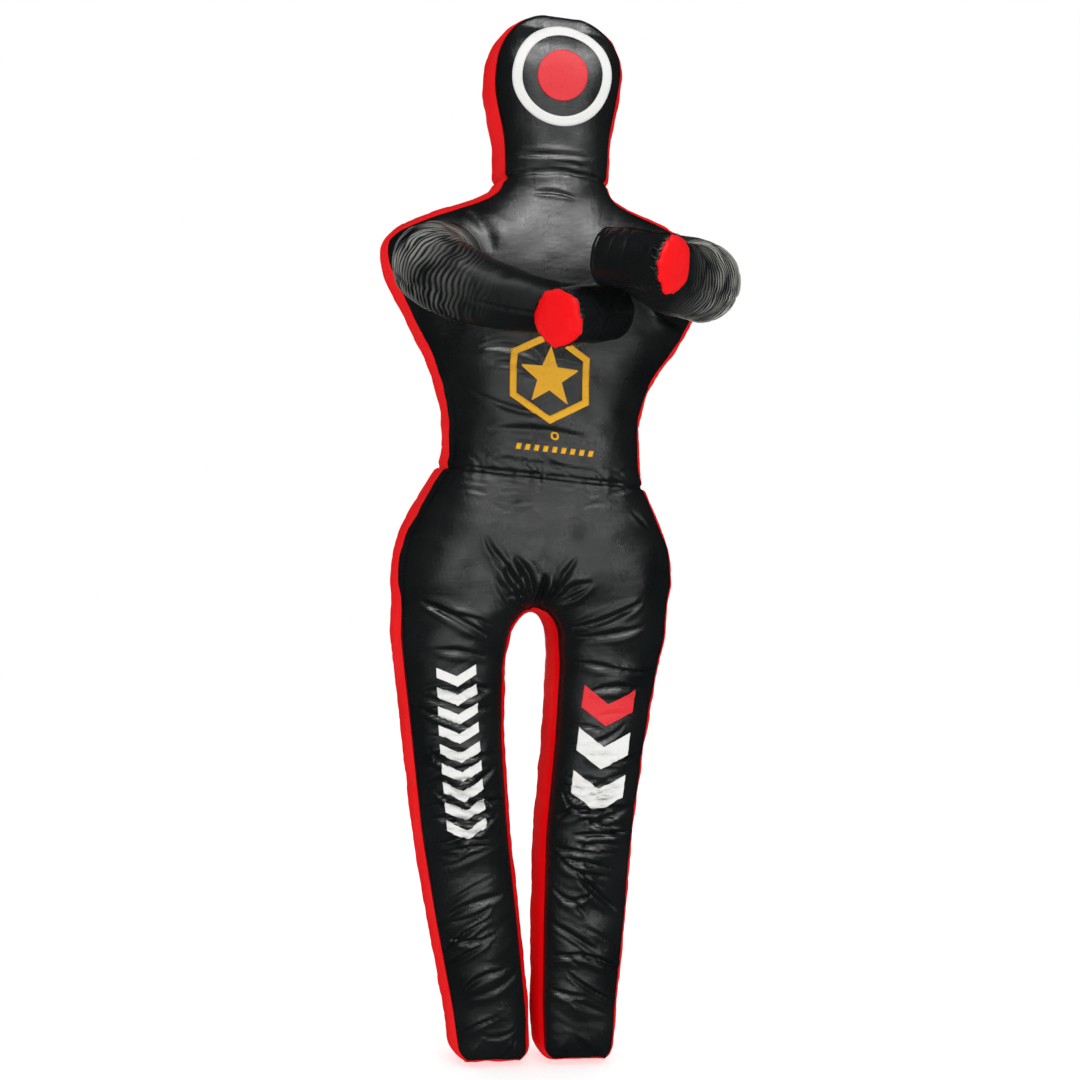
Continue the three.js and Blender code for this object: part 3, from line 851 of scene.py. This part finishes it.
def set_map(mesh, name, corner_uv):
    layer = mesh.uv_layers.new(name=name)
    layer.data.foreach_set("uv", np.asarray(corner_uv, np.float32).ravel())


def border_loops(faces):
    """The open edges of some faces as ordered loops of point numbers."""
    used = dict.fromkeys((a, b) for face in faces.tolist() for a, b in zip(face, face[1:] + face[:1]))
    following = {a: b for a, b in used if (b, a) not in used}
    loops = []
    while following:
        first = next(iter(following))
        loop = [first]
        while following.get(loop[-1]) is not None:
            ahead = following.pop(loop[-1])
            if ahead == first:
                break
            loop.append(ahead)
        loops.append(loop)
    return loops


def capped(points, normals, faces):
    """Closes every open edge with a fan; the caps stay out of sight inside the neighbouring piece."""
    points, normals = list(map(tuple, points)), list(map(tuple, normals))
    closed = [tuple(face) for face in faces.tolist()]
    whole = np.array(points).mean(axis=0)
    for loop in border_loops(faces):
        centre = np.array([points[v] for v in loop]).mean(axis=0)
        points.append(tuple(centre))
        normals.append(tuple(unit(centre - whole)))
        closed += [(b, a, len(points) - 1) for a, b in zip(loop, loop[1:] + loop[:1])]
    return points, normals, closed


def stuffed_piece(name, points, normals, faces, uv, regions, nodes, black=BLACK):
    """A closed, stuffed piece of cover; uv holds one place on the cloth for each corner of faces."""
    points, normals, closed = capped(points, normals, faces)
    mesh = mesh_of(name, points, closed)
    caps = len(closed) - len(faces)
    mesh.polygons.foreach_set("material_index", list(regions) + [0] * caps)
    mesh.polygons.foreach_set("use_smooth", [True] * len(closed))
    piece = linked(name, mesh, [black, RED], "black_leatherette")
    set_map(mesh, "cloth", np.vstack([uv, np.zeros((3 * caps, 2))]))
    mesh.normals_split_custom_set_from_vertices(normals)
    mesh.update()
    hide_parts(*nodes)
    return piece


def section_cover(section, nodes):
    """One section of the skin."""
    chosen = FACE_SECTIONS == section
    used, compact = np.unique(FACES[chosen], return_inverse=True)
    faces = compact.reshape(-1, 4)
    strip = (FACE_REGIONS[chosen] == STRIP).astype(int)
    base = POINTS[used]
    along = seam_place(base[:, 0], base[:, 2])[1]
    flat = base[faces][:, :, [0, 2]]
    rolled = np.stack([base[faces][:, :, 1], along[faces]], axis=2)
    uv = np.where(strip[:, None, None] == 1, rolled, flat).reshape(-1, 2)
    points, normals = SHAPED[used], SHAPED_NORMALS[used]
    return stuffed_piece(section + "_cover", points, normals, faces, uv, strip, nodes)


def nodes_with(*words):
    return [name for name in NODES if name.startswith(words)]


def fold_zone(node, top=None):
    """The top and the bottom of a fold node, on the figure's middle plane."""
    low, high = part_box(node)
    x = (low.x + high.x) / 2
    return (x, AXIS_Y, top or high.z), (x, AXIS_Y, low.z)


def bend_torso(piece):
    top, bottom = fold_zone("waist_fold")
    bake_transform(piece)
    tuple(bottom)
    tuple(top)


def bend_head(piece):
    top, bottom = fold_zone("neck_fold")
    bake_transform(piece)
    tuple(bottom)
    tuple(top)


def bend_leg(piece, side, shin):
    """Bakes a leg piece's transform; it reads the knee's fold zone for a shin piece and else the hip's,
    and nothing uses them.
    """
    if shin:
        top, bottom = fold_zone(side + "_knee_fold")
        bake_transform(piece)
        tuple(top)
        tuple(bottom)
    else:
        top, bottom = fold_zone(side + "_hip_fold", top=CROTCH)
        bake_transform(piece)
        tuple(top)
        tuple(bottom)


HIP_NODES = nodes_with("hips", "crotch", "right_hip_gusset", "left_hip_gusset", "waist_fold")
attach(section_cover("hips", HIP_NODES), "pelvis")
bend_torso(section_cover("torso", nodes_with("torso", "right_torso", "left_torso")))
bend_head(section_cover("head", nodes_with("head", "neck")))
for _side in SIDES:
    for _part, _fold in (("_thigh", "_hip_fold"), ("_shin", "_knee")):
        _nodes = nodes_with(_side + _part, _side + _fold)
        bend_leg(section_cover(_side + _part, _nodes), _side, shin=_part == "_shin")

for _node, _look in (("back_zip_tape", TAPE), ("back_zip_slider", METAL), ("back_zip_pull", METAL)):
    NODES[_node].data.materials.clear()
    NODES[_node].data.materials.append(_look)


# ---------- arms ----------
# Each arm's centre line, outwards, forwards and up, from inside the chest to the wrist.
ARM_LINES = {
    "right": [
        (0.176, 0.06, 1.352), (0.203, 0.125, 1.346), (0.212, 0.178, 1.334), (0.186, 0.232, 1.308),
        (0.112, 0.258, 1.282), (0.034, 0.268, 1.268), (-0.034, 0.27, 1.262),
    ],
    "left": [
        (0.183, 0.06, 1.352), (0.212, 0.125, 1.342), (0.226, 0.18, 1.328), (0.208, 0.24, 1.32),
        (0.16, 0.292, 1.319), (0.108, 0.34, 1.328), (0.066, 0.376, 1.338),
    ],
}
ARM_RADII = {
    "right": (0.067, 0.066, 0.064, 0.059, 0.05, 0.044, 0.041),
    "left": (0.067, 0.066, 0.065, 0.062, 0.059, 0.053, 0.046),
}
RING_STEP = 0.001
ARM_SIDES = 96
RING_PASSES = round(0.00024 / RING_STEP ** 2)  # smoothing that evens out the curve's pieces
ARM_SEAM = math.radians(112)  # from the top of the tube, round its outer side
SHOULDER_ZONE = (0.105, 0.14)  # how far forwards of the figure's axis the shoulder gives way
ARM_SPLIT = 0.151
ELBOW_ZONE = (0.162, 0.228)


def curve_points(points, count):
    """A smooth curve through the points, at even steps."""
    points = np.vstack([2 * points[0] - points[1], points, 2 * points[-1] - points[-2]])
    share = np.linspace(0, 1, 40, endpoint=False)[:, None]
    curve = []
    for a, b, c, d in zip(points, points[1:], points[2:], points[3:]):
        cubic = 2 * a - 5 * b + 4 * c - d + share * (3 * b - a - 3 * c + d)
        curve.append(b + 0.5 * share * (c - a + share * cubic))
    curve = np.vstack(curve + [points[-2:-1]])
    run = run_along(curve)
    even = np.linspace(0, run[-1], count)
    return np.stack([np.interp(even, run, axis) for axis in curve.T], axis=1), even


def arm_rings(side):
    """Centres, upward and outward ways, radii, and run of an arm's rings."""
    line = np.array([
        (AXIS_X + SIDES[side] * out, AXIS_Y - forward, up) for out, forward, up in ARM_LINES[side]
    ])
    centres, run = curve_points(line, round(run_along(line)[-1] / RING_STEP))
    ahead = np.gradient(centres, axis=0)
    for axis in range(3):
        ahead[:, axis] = smooth(ahead[:, axis], RING_PASSES)
    ahead = unit(ahead)
    upward = unit(np.array([0, 0, 1.0]) - ahead[:, 2:3] * ahead)
    outward = -SIDES[side] * np.cross(ahead, upward)
    radii = np.interp(run / run[-1], np.linspace(0, 1, len(line)), ARM_RADII[side])
    return centres, upward, outward, smooth(radii, RING_PASSES), run


RIB_PITCH = 0.0062
BEND_FORWARD = {"right": 0.172, "left": 0.215}  # how far forwards the middle of each bend is
RIB_HIGHLIGHT_STRENGTH = {"right": 0.8, "left": 1.35}  # how bright the painted highlight on each arm's ribs is


def arm_relief(angle, run, radius, bend_run, seed):
    """Ribs round the bend, drag lines down the forearm, the long seam and the gathered ends; also how
    bright the painted highlight on the ribs is, and how near the bend they are."""
    around = angle * radius
    wrap, wrap_b = np.cos(angle) * 1.7, np.sin(angle) * 1.7
    near_bend = bell(run - bend_run, 0.07)
    shift = noise_at(run / 0.03, wrap, wrap_b, seed)
    shift += 0.5 * noise_at(run / 0.011, 2 * wrap, 2 * wrap_b, seed + 6)
    rib = np.abs(np.sin(math.pi * (run / RIB_PITCH + 0.9 * shift))) - 0.64
    strength = 0.55 + 0.45 * noise_at(run / 0.02, wrap, wrap_b, seed + 7)
    coarse = ridges(run / 0.019 + 0.9 * np.cos(angle), wrap, wrap_b, seed + 1)
    relief = near_bend * (0.0024 * rib * strength + 0.003 * coarse)
    # painted highlight: the ribs' crests near the bend are made pale in the sleeve's colour
    painted_rib_highlight = near_bend * np.clip(0.32 + 2.3 * rib * strength + 0.5 * coarse, 0, 1)
    drag = ridges((run + 0.6 * around) / 0.03, (around - 0.5 * run) / 0.09, 0, seed + 2)
    past_bend = step_up(run, bend_run, bend_run + 0.08)
    relief += 0.0012 * drag * past_bend * np.clip(np.cos(angle) + 0.4, 0, 1)
    relief += 0.0022 * noise_at(run / 0.06, wrap, wrap_b, seed + 3)
    seam = np.abs(angle - ARM_SEAM) * radius
    pucker = noise_at(run / 0.007, 0, 0, seed + 4)
    relief += 0.0008 * pucker * fade(seam, 0.007) - 0.0019 * bell(seam, 0.0022)
    pleats = noise_at(around / 0.012, 0, 0, seed + 5)
    relief += 0.001 * pleats * fade(run[-1] - run, 0.03)
    return relief, painted_rib_highlight, near_bend


def ring_points(centres, first, second, radii, angles):
    """Rings of points round centres; first and second are the ways at no turn and a quarter turn."""
    turn = np.cos(angles)[:, None] * first[..., None, :] + np.sin(angles)[:, None] * second[..., None, :]
    return (centres[:, None] + turn * radii[..., None]).reshape(-1, 3)


def tube_cloth(run, radii, sides, flip=False):
    """The place on the cloth, round and along the tube, of every corner of its faces."""
    turns = np.linspace(0, 2 * math.pi, sides + 1)
    places = np.stack([turns * radii[:, None], np.tile(run[:, None], sides + 1)], axis=2)
    return places.reshape(-1, 2)[grid_faces(len(run), sides + 1, flip)].reshape(-1, 2)


def add_arm(side):
    """An arm's two tubes; gives back the middle of the wrist."""
    centres, upward, outward, radii, run = arm_rings(side)
    rings = len(centres)
    angles = np.linspace(0, 2 * math.pi, ARM_SIDES, endpoint=False)
    bend_run = np.interp(BEND_FORWARD[side], AXIS_Y - centres[:, 1], run)
    relief, painted_rib_highlight, near_bend = arm_relief(
        angles, run[:, None], radii[:, None], bend_run, 80 + 10 * SIDES[side]
    )
    # the painted highlight on the ribs, scaled for each arm
    painted_rib_highlight = np.clip(RIB_HIGHLIGHT_STRENGTH[side] * painted_rib_highlight, 0, 1)
    ribs = np.stack(np.broadcast_arrays(painted_rib_highlight, near_bend), axis=-1).reshape(-1, 2)
    points = ring_points(centres, upward, outward, radii[:, None] + relief, angles)
    flip = SIDES[side] < 0
    normals = normals_of(points, grid_faces(rings, ARM_SIDES, flip, wrap=True))
    split = int(np.argmax(AXIS_Y - centres[:, 1] > ARM_SPLIT))
    upper_arm, forearm = side + "_upper_arm", side + "_forearm"
    upper_nodes = nodes_with(upper_arm, side + "_shoulder", side + "_elbow")
    zones = [
        (upper_arm, 0, split + 1, upper_nodes, "torso", upper_arm, SHOULDER_ZONE),
        (forearm, split, rings, nodes_with(forearm), upper_arm, forearm, ELBOW_ZONE),
    ]
    for name, first, last, nodes, back, front, zone in zones:
        chosen = slice(first * ARM_SIDES, last * ARM_SIDES)
        faces = grid_faces(last - first, ARM_SIDES, flip, wrap=True)
        cloth = tube_cloth(run[first:last], radii[first:last], ARM_SIDES, flip)
        piece = stuffed_piece(
            name + "_tube", points[chosen], normals[chosen], faces, cloth, [0] * len(faces),
            nodes, SLEEVE,
        )
        # this map carries the painted highlight on the ribs, and how near the bend they are
        painted_highlight_map = np.zeros((len(piece.data.loops), 2))
        painted_highlight_map[: faces.size] = ribs[chosen][faces].reshape(-1, 2)
        set_map(piece.data, "ribs", painted_highlight_map)
        x, _, z = centres[split]
        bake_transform(piece)
    return centres[-1]


# ---------- hands ----------
HAND_RADIUS = 0.046
HAND_BACK = 0.047  # from the wrist to the closed end
CAP_HEIGHT = 0.0155
HAND_SIDES = 120
PROFILE_STEP = 0.0014
STITCHES = 30
SLACK_THREADS = (-0.42, -0.12, 0.2)  # their turns from the side that faces out


def hand_axes(side, wrist):
    """The wrist, the hand's own ways (along, across, up) and the distance to the cap's seam."""
    low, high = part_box(side + "_hand_cap")
    along = np.array((low + high) / 2) - wrist
    reach = np.linalg.norm(along) - CAP_HEIGHT / 2
    along = unit(along)
    across = unit(np.cross([0, 0, 1.0], along))
    return wrist, along, across, np.cross(along, across), reach


def resampled(profile, step):
    """Distances and radii of a profile at even steps along it, and those steps."""
    profile = np.array(profile)
    run = run_along(profile)
    even = np.linspace(0, run[-1], round(run[-1] / step))
    distance, radius = (smooth(np.interp(even, run, values), 2) for values in profile.T)
    return distance, radius, even


def turned_piece(name, axes, profile, relief, region, nodes):
    """A stuffed piece turned about a hand's axis from a (distance, radius) profile."""
    wrist, along, across, up, _ = axes
    distance, radius, run = resampled(profile, PROFILE_STEP)
    angles = np.linspace(0, 2 * math.pi, HAND_SIDES, endpoint=False)
    swell = relief(distance[:, None], angles) * np.clip(radius / 0.02, 0, 1)[:, None]
    points = ring_points(wrist + distance[:, None] * along, across, up, radius[:, None] + swell, angles)
    faces = grid_faces(len(distance), HAND_SIDES, wrap=True)
    normals = normals_of(points, faces)
    uv = tube_cloth(run, np.maximum(radius, 0.004), HAND_SIDES)
    return stuffed_piece(name, points, normals, faces, uv, [region] * len(faces), nodes)


def thread_loop(points, thickness):
    """A short thread as a six-sided tube: its points and faces."""
    ahead = unit(np.gradient(points, axis=0))
    side = unit(np.cross(ahead, ahead[::-1] + [0.3, 0.2, 0.9]))
    angles = np.arange(6) * math.pi / 3
    tube = ring_points(points, side, np.cross(ahead, side), np.full((len(points), 6), thickness), angles)
    return tube, grid_faces(len(points), 6, wrap=True)


def add_threads(side, axes):
    """The threads that close the cap's seam, with a few long slack ones on the side that faces out."""
    wrist, along, across, up, reach = axes
    rng = np.random.default_rng(SEED + 5)
    points, faces, count = [], [], 0
    stitches = [(k * 2 * math.pi / STITCHES, 0.007, 0.0016, 0.0007) for k in range(STITCHES)]
    stitches += [(math.pi + turn, 0.017, 0.0045, 0.0011) for turn in SLACK_THREADS]
    for angle, length, rise, thickness in stitches:
        angle += rng.normal(0, 0.02)
        share = np.linspace(0, 1, 9)
        distance = reach + 0.002 - length * share
        lift = HAND_RADIUS * 0.965 + rise * np.sin(math.pi * share)
        slant = angle + 0.05 * np.sin(2 * math.pi * share) + 0.06 * share
        way = np.cos(slant)[:, None] * across + np.sin(slant)[:, None] * up
        tube, tube_quads = thread_loop(wrist + distance[:, None] * along + lift[:, None] * way, thickness)
        points.append(tube)
        faces.append(tube_quads + count)
        count += len(tube)
    points, _, closed = capped(np.vstack(points), np.vstack(points), np.vstack(faces))
    mesh = mesh_of(side + "_hand_threads", points, closed)
    mesh.polygons.foreach_set("use_smooth", [True] * len(closed))
    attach(linked(side + "_hand_threads", mesh, [THREAD], "stitch_thread"), side + "_forearm")


def add_hand(side, wrist):
    axes = hand_axes(side, wrist)
    reach, size, seed = axes[-1], HAND_RADIUS, 120 + 10 * SIDES[side]

    def lumps(distance, angle):
        """Soft dents, and the cap's five blunt corners, which fade along the barrel."""
        soft = 0.002 * noise_at(distance / 0.05, np.cos(angle) * 1.2, np.sin(angle) * 1.2, seed)
        turn = (angle + 0.5) % (0.4 * math.pi) - 0.2 * math.pi
        corner = size * (math.cos(0.2 * math.pi) / np.cos(turn) - 0.9)
        return soft + 0.42 * corner * step_up(distance, reach - 0.07, reach)

    def pull(distance, angle, depth, spread):
        """Puckers that the cap's stitches draw in."""
        return depth * noise_at(angle / 0.16, 0, 0, seed + 1) * fade(np.abs(distance - reach), spread)

    def barrel_relief(distance, angle):
        rim = noise_at(angle / 0.2, 0, 0, seed + 2) * fade(np.abs(distance + HAND_BACK), 0.012)
        creases = ridges(distance / 0.02, angle * 1.4, 0, seed + 3)
        soft = lumps(distance, angle) + pull(distance, angle, 0.002, 0.009)
        return soft + 0.0008 * rim + 0.0009 * creases

    def cap_relief(distance, angle):
        return lumps(distance, angle) + pull(distance, angle, 0.0026, 0.007)

    back = -HAND_BACK
    barrel = [
        (back - 0.001, 0.0005), (back - 0.001, 0.5 * size), (back, 0.84 * size),
        (back + 0.0005, 0.95 * size), (back + 0.003, size), (back + 0.006, size),
        (back + 0.0085, 0.965 * size),
        (back + 0.012, 0.985 * size), (back + 0.03, 1.01 * size), (reach - 0.02, size),
        (reach - 0.005, 0.985 * size), (reach, 0.945 * size), (reach + 0.001, 0.9 * size),
    ]
    cap = [
        (reach - 0.001, 0.9 * size), (reach, 0.95 * size), (reach + 0.002, 0.98 * size),
        (reach + 0.006, 0.955 * size), (reach + 0.0105, 0.84 * size), (reach + 0.0135, 0.62 * size),
        (reach + 0.0152, 0.32 * size), (reach + CAP_HEIGHT, 0.0005),
    ]
    hand = turned_piece(side + "_hand_barrel", axes, barrel, barrel_relief, 0, [side + "_hand_cover"])
    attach(hand, side + "_forearm")
    end = turned_piece(side + "_hand_end", axes, cap, cap_relief, 1, [side + "_hand_cap"])
    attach(end, side + "_forearm")
    add_threads(side, axes)


for _side in SIDES:
    add_hand(_side, add_arm(_side))


# ---------- prints ----------
SKIN_TREE = BVHTree.FromPolygons([Vector(p) for p in SHAPED.tolist()], FACES.tolist())


def on_front(x, z):
    """The skin's front at this place, and its normal."""
    x, z = settled(x, z)
    hit, normal, _, _ = SKIN_TREE.ray_cast(Vector((x, AXIS_Y - 1, z)), Vector((0, 1, 0)))
    return hit, normal


def print_patch(name, rows, columns, place, ink, slot, wrap=False):
    """A thin printed patch laid on the front, as a grid of (u, v) from 0 to 1 put at place(u, v)."""
    steps = columns if wrap else columns - 1
    places = [place(r / (rows - 1), c / steps) for r in range(rows) for c in range(columns)]
    hits = [on_front(x, z) for x, z in places]
    outer = [hit + normal * (PRINT_LIFT + PRINT_THICK) for hit, normal in hits]
    inner = [hit + normal * PRINT_LIFT for hit, normal in hits]
    faces, count = grid_faces(rows, columns, wrap=wrap), len(places)
    sides = [
        (b, a, a + count, b + count)
        for loop in border_loops(faces) for a, b in zip(loop, loop[1:] + loop[:1])
    ]
    all_faces = np.vstack([faces, faces[:, ::-1] + count, sides])
    mesh = mesh_of(name, outer + inner, all_faces.tolist())
    piece = linked(name, mesh, [ink], slot)
    set_map(mesh, "cloth", np.array(places)[all_faces % count])
    mesh.polygons.foreach_set("use_smooth", [True] * len(faces) + [False] * (len(all_faces) - len(faces)))
    mesh.update()
    if mesh.polygons[0].normal.y > 0:
        mesh.flip_normals()
    return piece


def circle(_):
    """Reach of a circle, the same at every angle."""
    return 1.0


def polygon(corners):
    """Reach of a regular polygon with a corner at the top."""
    def reach(angle):
        turn = (angle - math.pi / 2) % (2 * math.pi / corners) - math.pi / corners
        return math.cos(math.pi / corners) / math.cos(turn)
    return reach


def star(points, waist):
    """Reach of a star with a point at the top; waist is the share that its notches reach."""
    half = math.pi / points
    x, y = 1 - waist * math.cos(half), waist * math.sin(half)

    def reach(angle):
        tip = abs((angle - math.pi / 2) % (2 * half) / half - 1)
        slant = (1 - tip) * half
        return y / (y * math.cos(slant) + x * math.sin(slant))
    return reach


def from_centre(centre, radius, angle):
    return centre[0] + radius * math.cos(angle), centre[1] + radius * math.sin(angle)


def add_ring(name, centre, low, high, ink, slot, reach=circle, columns=128):
    """A printed ring. reach is its outline's distance from the centre by angle, as a share."""
    def place(u, v):
        angle = 2 * math.pi * v
        return from_centre(centre, (low + (high - low) * u) * reach(angle), angle)

    rows = max(3, round((high - low) / 0.003))
    return print_patch(name, rows, columns, place, ink, slot, wrap=True)


def add_disc(name, centre, size, ink, slot, reach=circle):
    """A filled print: a square grid drawn in to the outline."""
    def place(u, v):
        across, upward = 2 * v - 1, 2 * u - 1
        angle = math.atan2(upward, across)
        return from_centre(centre, size * max(abs(across), abs(upward)) * reach(angle), angle)

    count = max(9, 2 * round(size / 0.002) + 1)
    return print_patch(name, count, count, place, ink, slot)


TARGET = (0.003, TOP - 0.109)
bend_head(add_ring("target_ring", TARGET, 0.067, 0.083, WHITE_INK, "white_print"))
bend_head(add_disc("target_spot", TARGET, 0.042, RED_INK, "red_leatherette"))

EMBLEM = (0.0, 1.167)
YELLOW = (YELLOW_INK, "yellow_print")
bend_torso(add_ring("emblem_frame", EMBLEM, 0.064, 0.077, *YELLOW, reach=polygon(6), columns=120))
bend_torso(add_disc("emblem_star", EMBLEM, 0.052, *YELLOW, reach=star(5, 0.42)))
bend_torso(add_ring("emblem_dot", (0.008, 1.071), 0.0035, 0.007, *YELLOW, columns=32))

DASHES = 9
DASH_ROW = (0.007, 1.048)
DASH_PITCH, DASH_WIDTH, DASH_HEIGHT, DASH_SLANT = 0.0152, 0.008, 0.01, 0.003


def add_dash(number):
    """One slanted dash of the row under the emblem."""
    centre_x = DASH_ROW[0] + DASH_PITCH * (number - (DASHES + 1) / 2)

    def place(u, v):
        x = centre_x + DASH_WIDTH * (v - 0.5) + DASH_SLANT * (u - 0.5)
        return x, DASH_ROW[1] + DASH_HEIGHT * (u - 0.5)

    return print_patch(f"emblem_dash_{number}", 4, 3, place, *YELLOW)


for _number in range(1, DASHES + 1):
    bend_torso(add_dash(_number))


def chevron(centre, angle, width, height, thick):
    """Places of a V mark."""
    cos, sin = math.cos(angle), math.sin(angle)

    def place(u, v):
        x = (v - 0.5) * width
        z = (abs(2 * v - 1) - 0.5) * (height - thick) + (u - 0.5) * thick
        return centre[0] + x * cos - z * sin, centre[1] + x * sin + z * cos

    return place


def leg_axis(z):
    return (leg_inner(z) + outer_half(z)) / 2


LEG_LEAN = math.atan((leg_axis(0.65) - leg_axis(0.4)) / 0.25)


def add_leg_marks(side, top, pitch, size, inks):
    """A column of V marks down a thigh; the ones below the split are passed to bend_leg as shin pieces.
    """
    width, height, thick = size
    rows, columns = max(3, round(thick / 0.0016)), 2 * round(width / 0.0032) + 1
    for i, (ink, slot) in enumerate(inks):
        z = top - pitch * (i + 0.5)
        place = chevron((SIDES[side] * leg_axis(z), z), -SIDES[side] * LEG_LEAN, width, height, thick)
        piece = print_patch(f"{side}_leg_mark_{i + 1}", rows, columns, place, ink, slot)
        bend_leg(piece, side, shin=z - height / 2 <= LEG_SPLIT)


WHITE = (WHITE_INK, "white_print")
add_leg_marks("right", 0.685, 0.032, (0.066, 0.034, 0.017), [WHITE] * 9)
add_leg_marks("left", 0.655, 0.072, (0.088, 0.066, 0.038), [(RED_INK, "red_leatherette"), WHITE, WHITE])


# ---------- camera, light and stage ----------
def look(thing, target):
    thing.rotation_mode = "QUATERNION"
    thing.rotation_quaternion = (Vector(target) - thing.location).to_track_quat("-Z", "Y")


VIEW_AZIMUTH, VIEW_ELEVATION, VIEW_ROLL = math.radians(-10), math.radians(2), math.radians(1.6)
VIEW_DISTANCE = 3.4
VIEW_TARGET = Vector((AXIS_X + 0.005, AXIS_Y, TOP / 2 + 0.006))
FRAME_HEIGHT = 1.04 * TOP


def add_camera():
    data = bpy.data.cameras.new("camera")
    camera = in_scene(bpy.data.objects.new("camera", data))
    level, rise = math.cos(VIEW_ELEVATION), math.sin(VIEW_ELEVATION)
    back = Vector((math.sin(VIEW_AZIMUTH) * level, -math.cos(VIEW_AZIMUTH) * level, rise))
    camera.location = VIEW_TARGET + back * VIEW_DISTANCE
    look(camera, VIEW_TARGET)
    camera.rotation_quaternion @= Quaternion((0, 0, 1), VIEW_ROLL)
    data.sensor_width = 36
    data.lens = data.sensor_width * VIEW_DISTANCE / FRAME_HEIGHT
    bpy.context.scene.camera = camera


def add_area(name, place, target, size, power, sheen_only=True):
    data = bpy.data.lights.new(name, "AREA")
    data.shape = "RECTANGLE"
    data.size, data.size_y = size
    data.energy = power
    lamp = in_scene(bpy.data.objects.new(name, data))
    lamp.location = place
    look(lamp, target)
    lamp.visible_diffuse = not sheen_only


def add_stage():
    """A white floor that glows enough to meet the white surroundings without a visible edge."""
    reach = 6
    corners = [(-reach, -reach, 0), (reach, -reach, 0), (reach, reach, 0), (-reach, reach, 0)]
    mesh = mesh_of("floor", corners, [(0, 1, 2, 3)])
    floor = in_scene(bpy.data.objects.new("floor", mesh))
    paper = Look("floor_paper", (0.5, 0.5, 0.5), 0.9)
    paper.show({"Emission Color": (1, 1, 1, 1), "Emission Strength": 0.62})
    mesh.materials.append(paper.made)
    floor.visible_glossy = False
    world = bpy.data.worlds.new("studio")
    bpy.context.scene.world = world
    world.use_nodes = True
    background = world.node_tree.nodes["Background"]
    background.inputs["Color"].default_value = (1, 1, 1, 1)
    background.inputs["Strength"].default_value = 1.0
    world.cycles_visibility.glossy = False


def add_lights():
    """A soft key from above, and panels that only show in the cover's sheen."""
    trunk = (AXIS_X, AXIS_Y, 1.0)
    add_area("key", (0.5, AXIS_Y - 2.9, 2.9), trunk, (1.2, 0.9), 22, sheen_only=False)
    add_area("top_sheen", (0.2, AXIS_Y - 1.9, 3.2), (0, AXIS_Y, 1.35), (1.0, 0.7), 46)
    add_area("front_sheen", (0.3, AXIS_Y - 3.3, 1.75), trunk, (1.0, 0.4), 9)
    add_area("floor_sheen", (-0.3, AXIS_Y - 2.4, 0.1), (0, AXIS_Y, 1.3), (1.6, 0.5), 6)
    add_area("leg_sheen", (0.6, AXIS_Y - 3.3, 0.6), (0, AXIS_Y, 0.3), (0.35, 0.8), 12)
    add_area("back_sheen", (0.4, AXIS_Y + 3.2, 1.0), trunk, (1.2, 1.2), 16)


add_camera()
add_lights()
add_stage()
bpy.context.scene.view_settings.view_transform = "Standard"
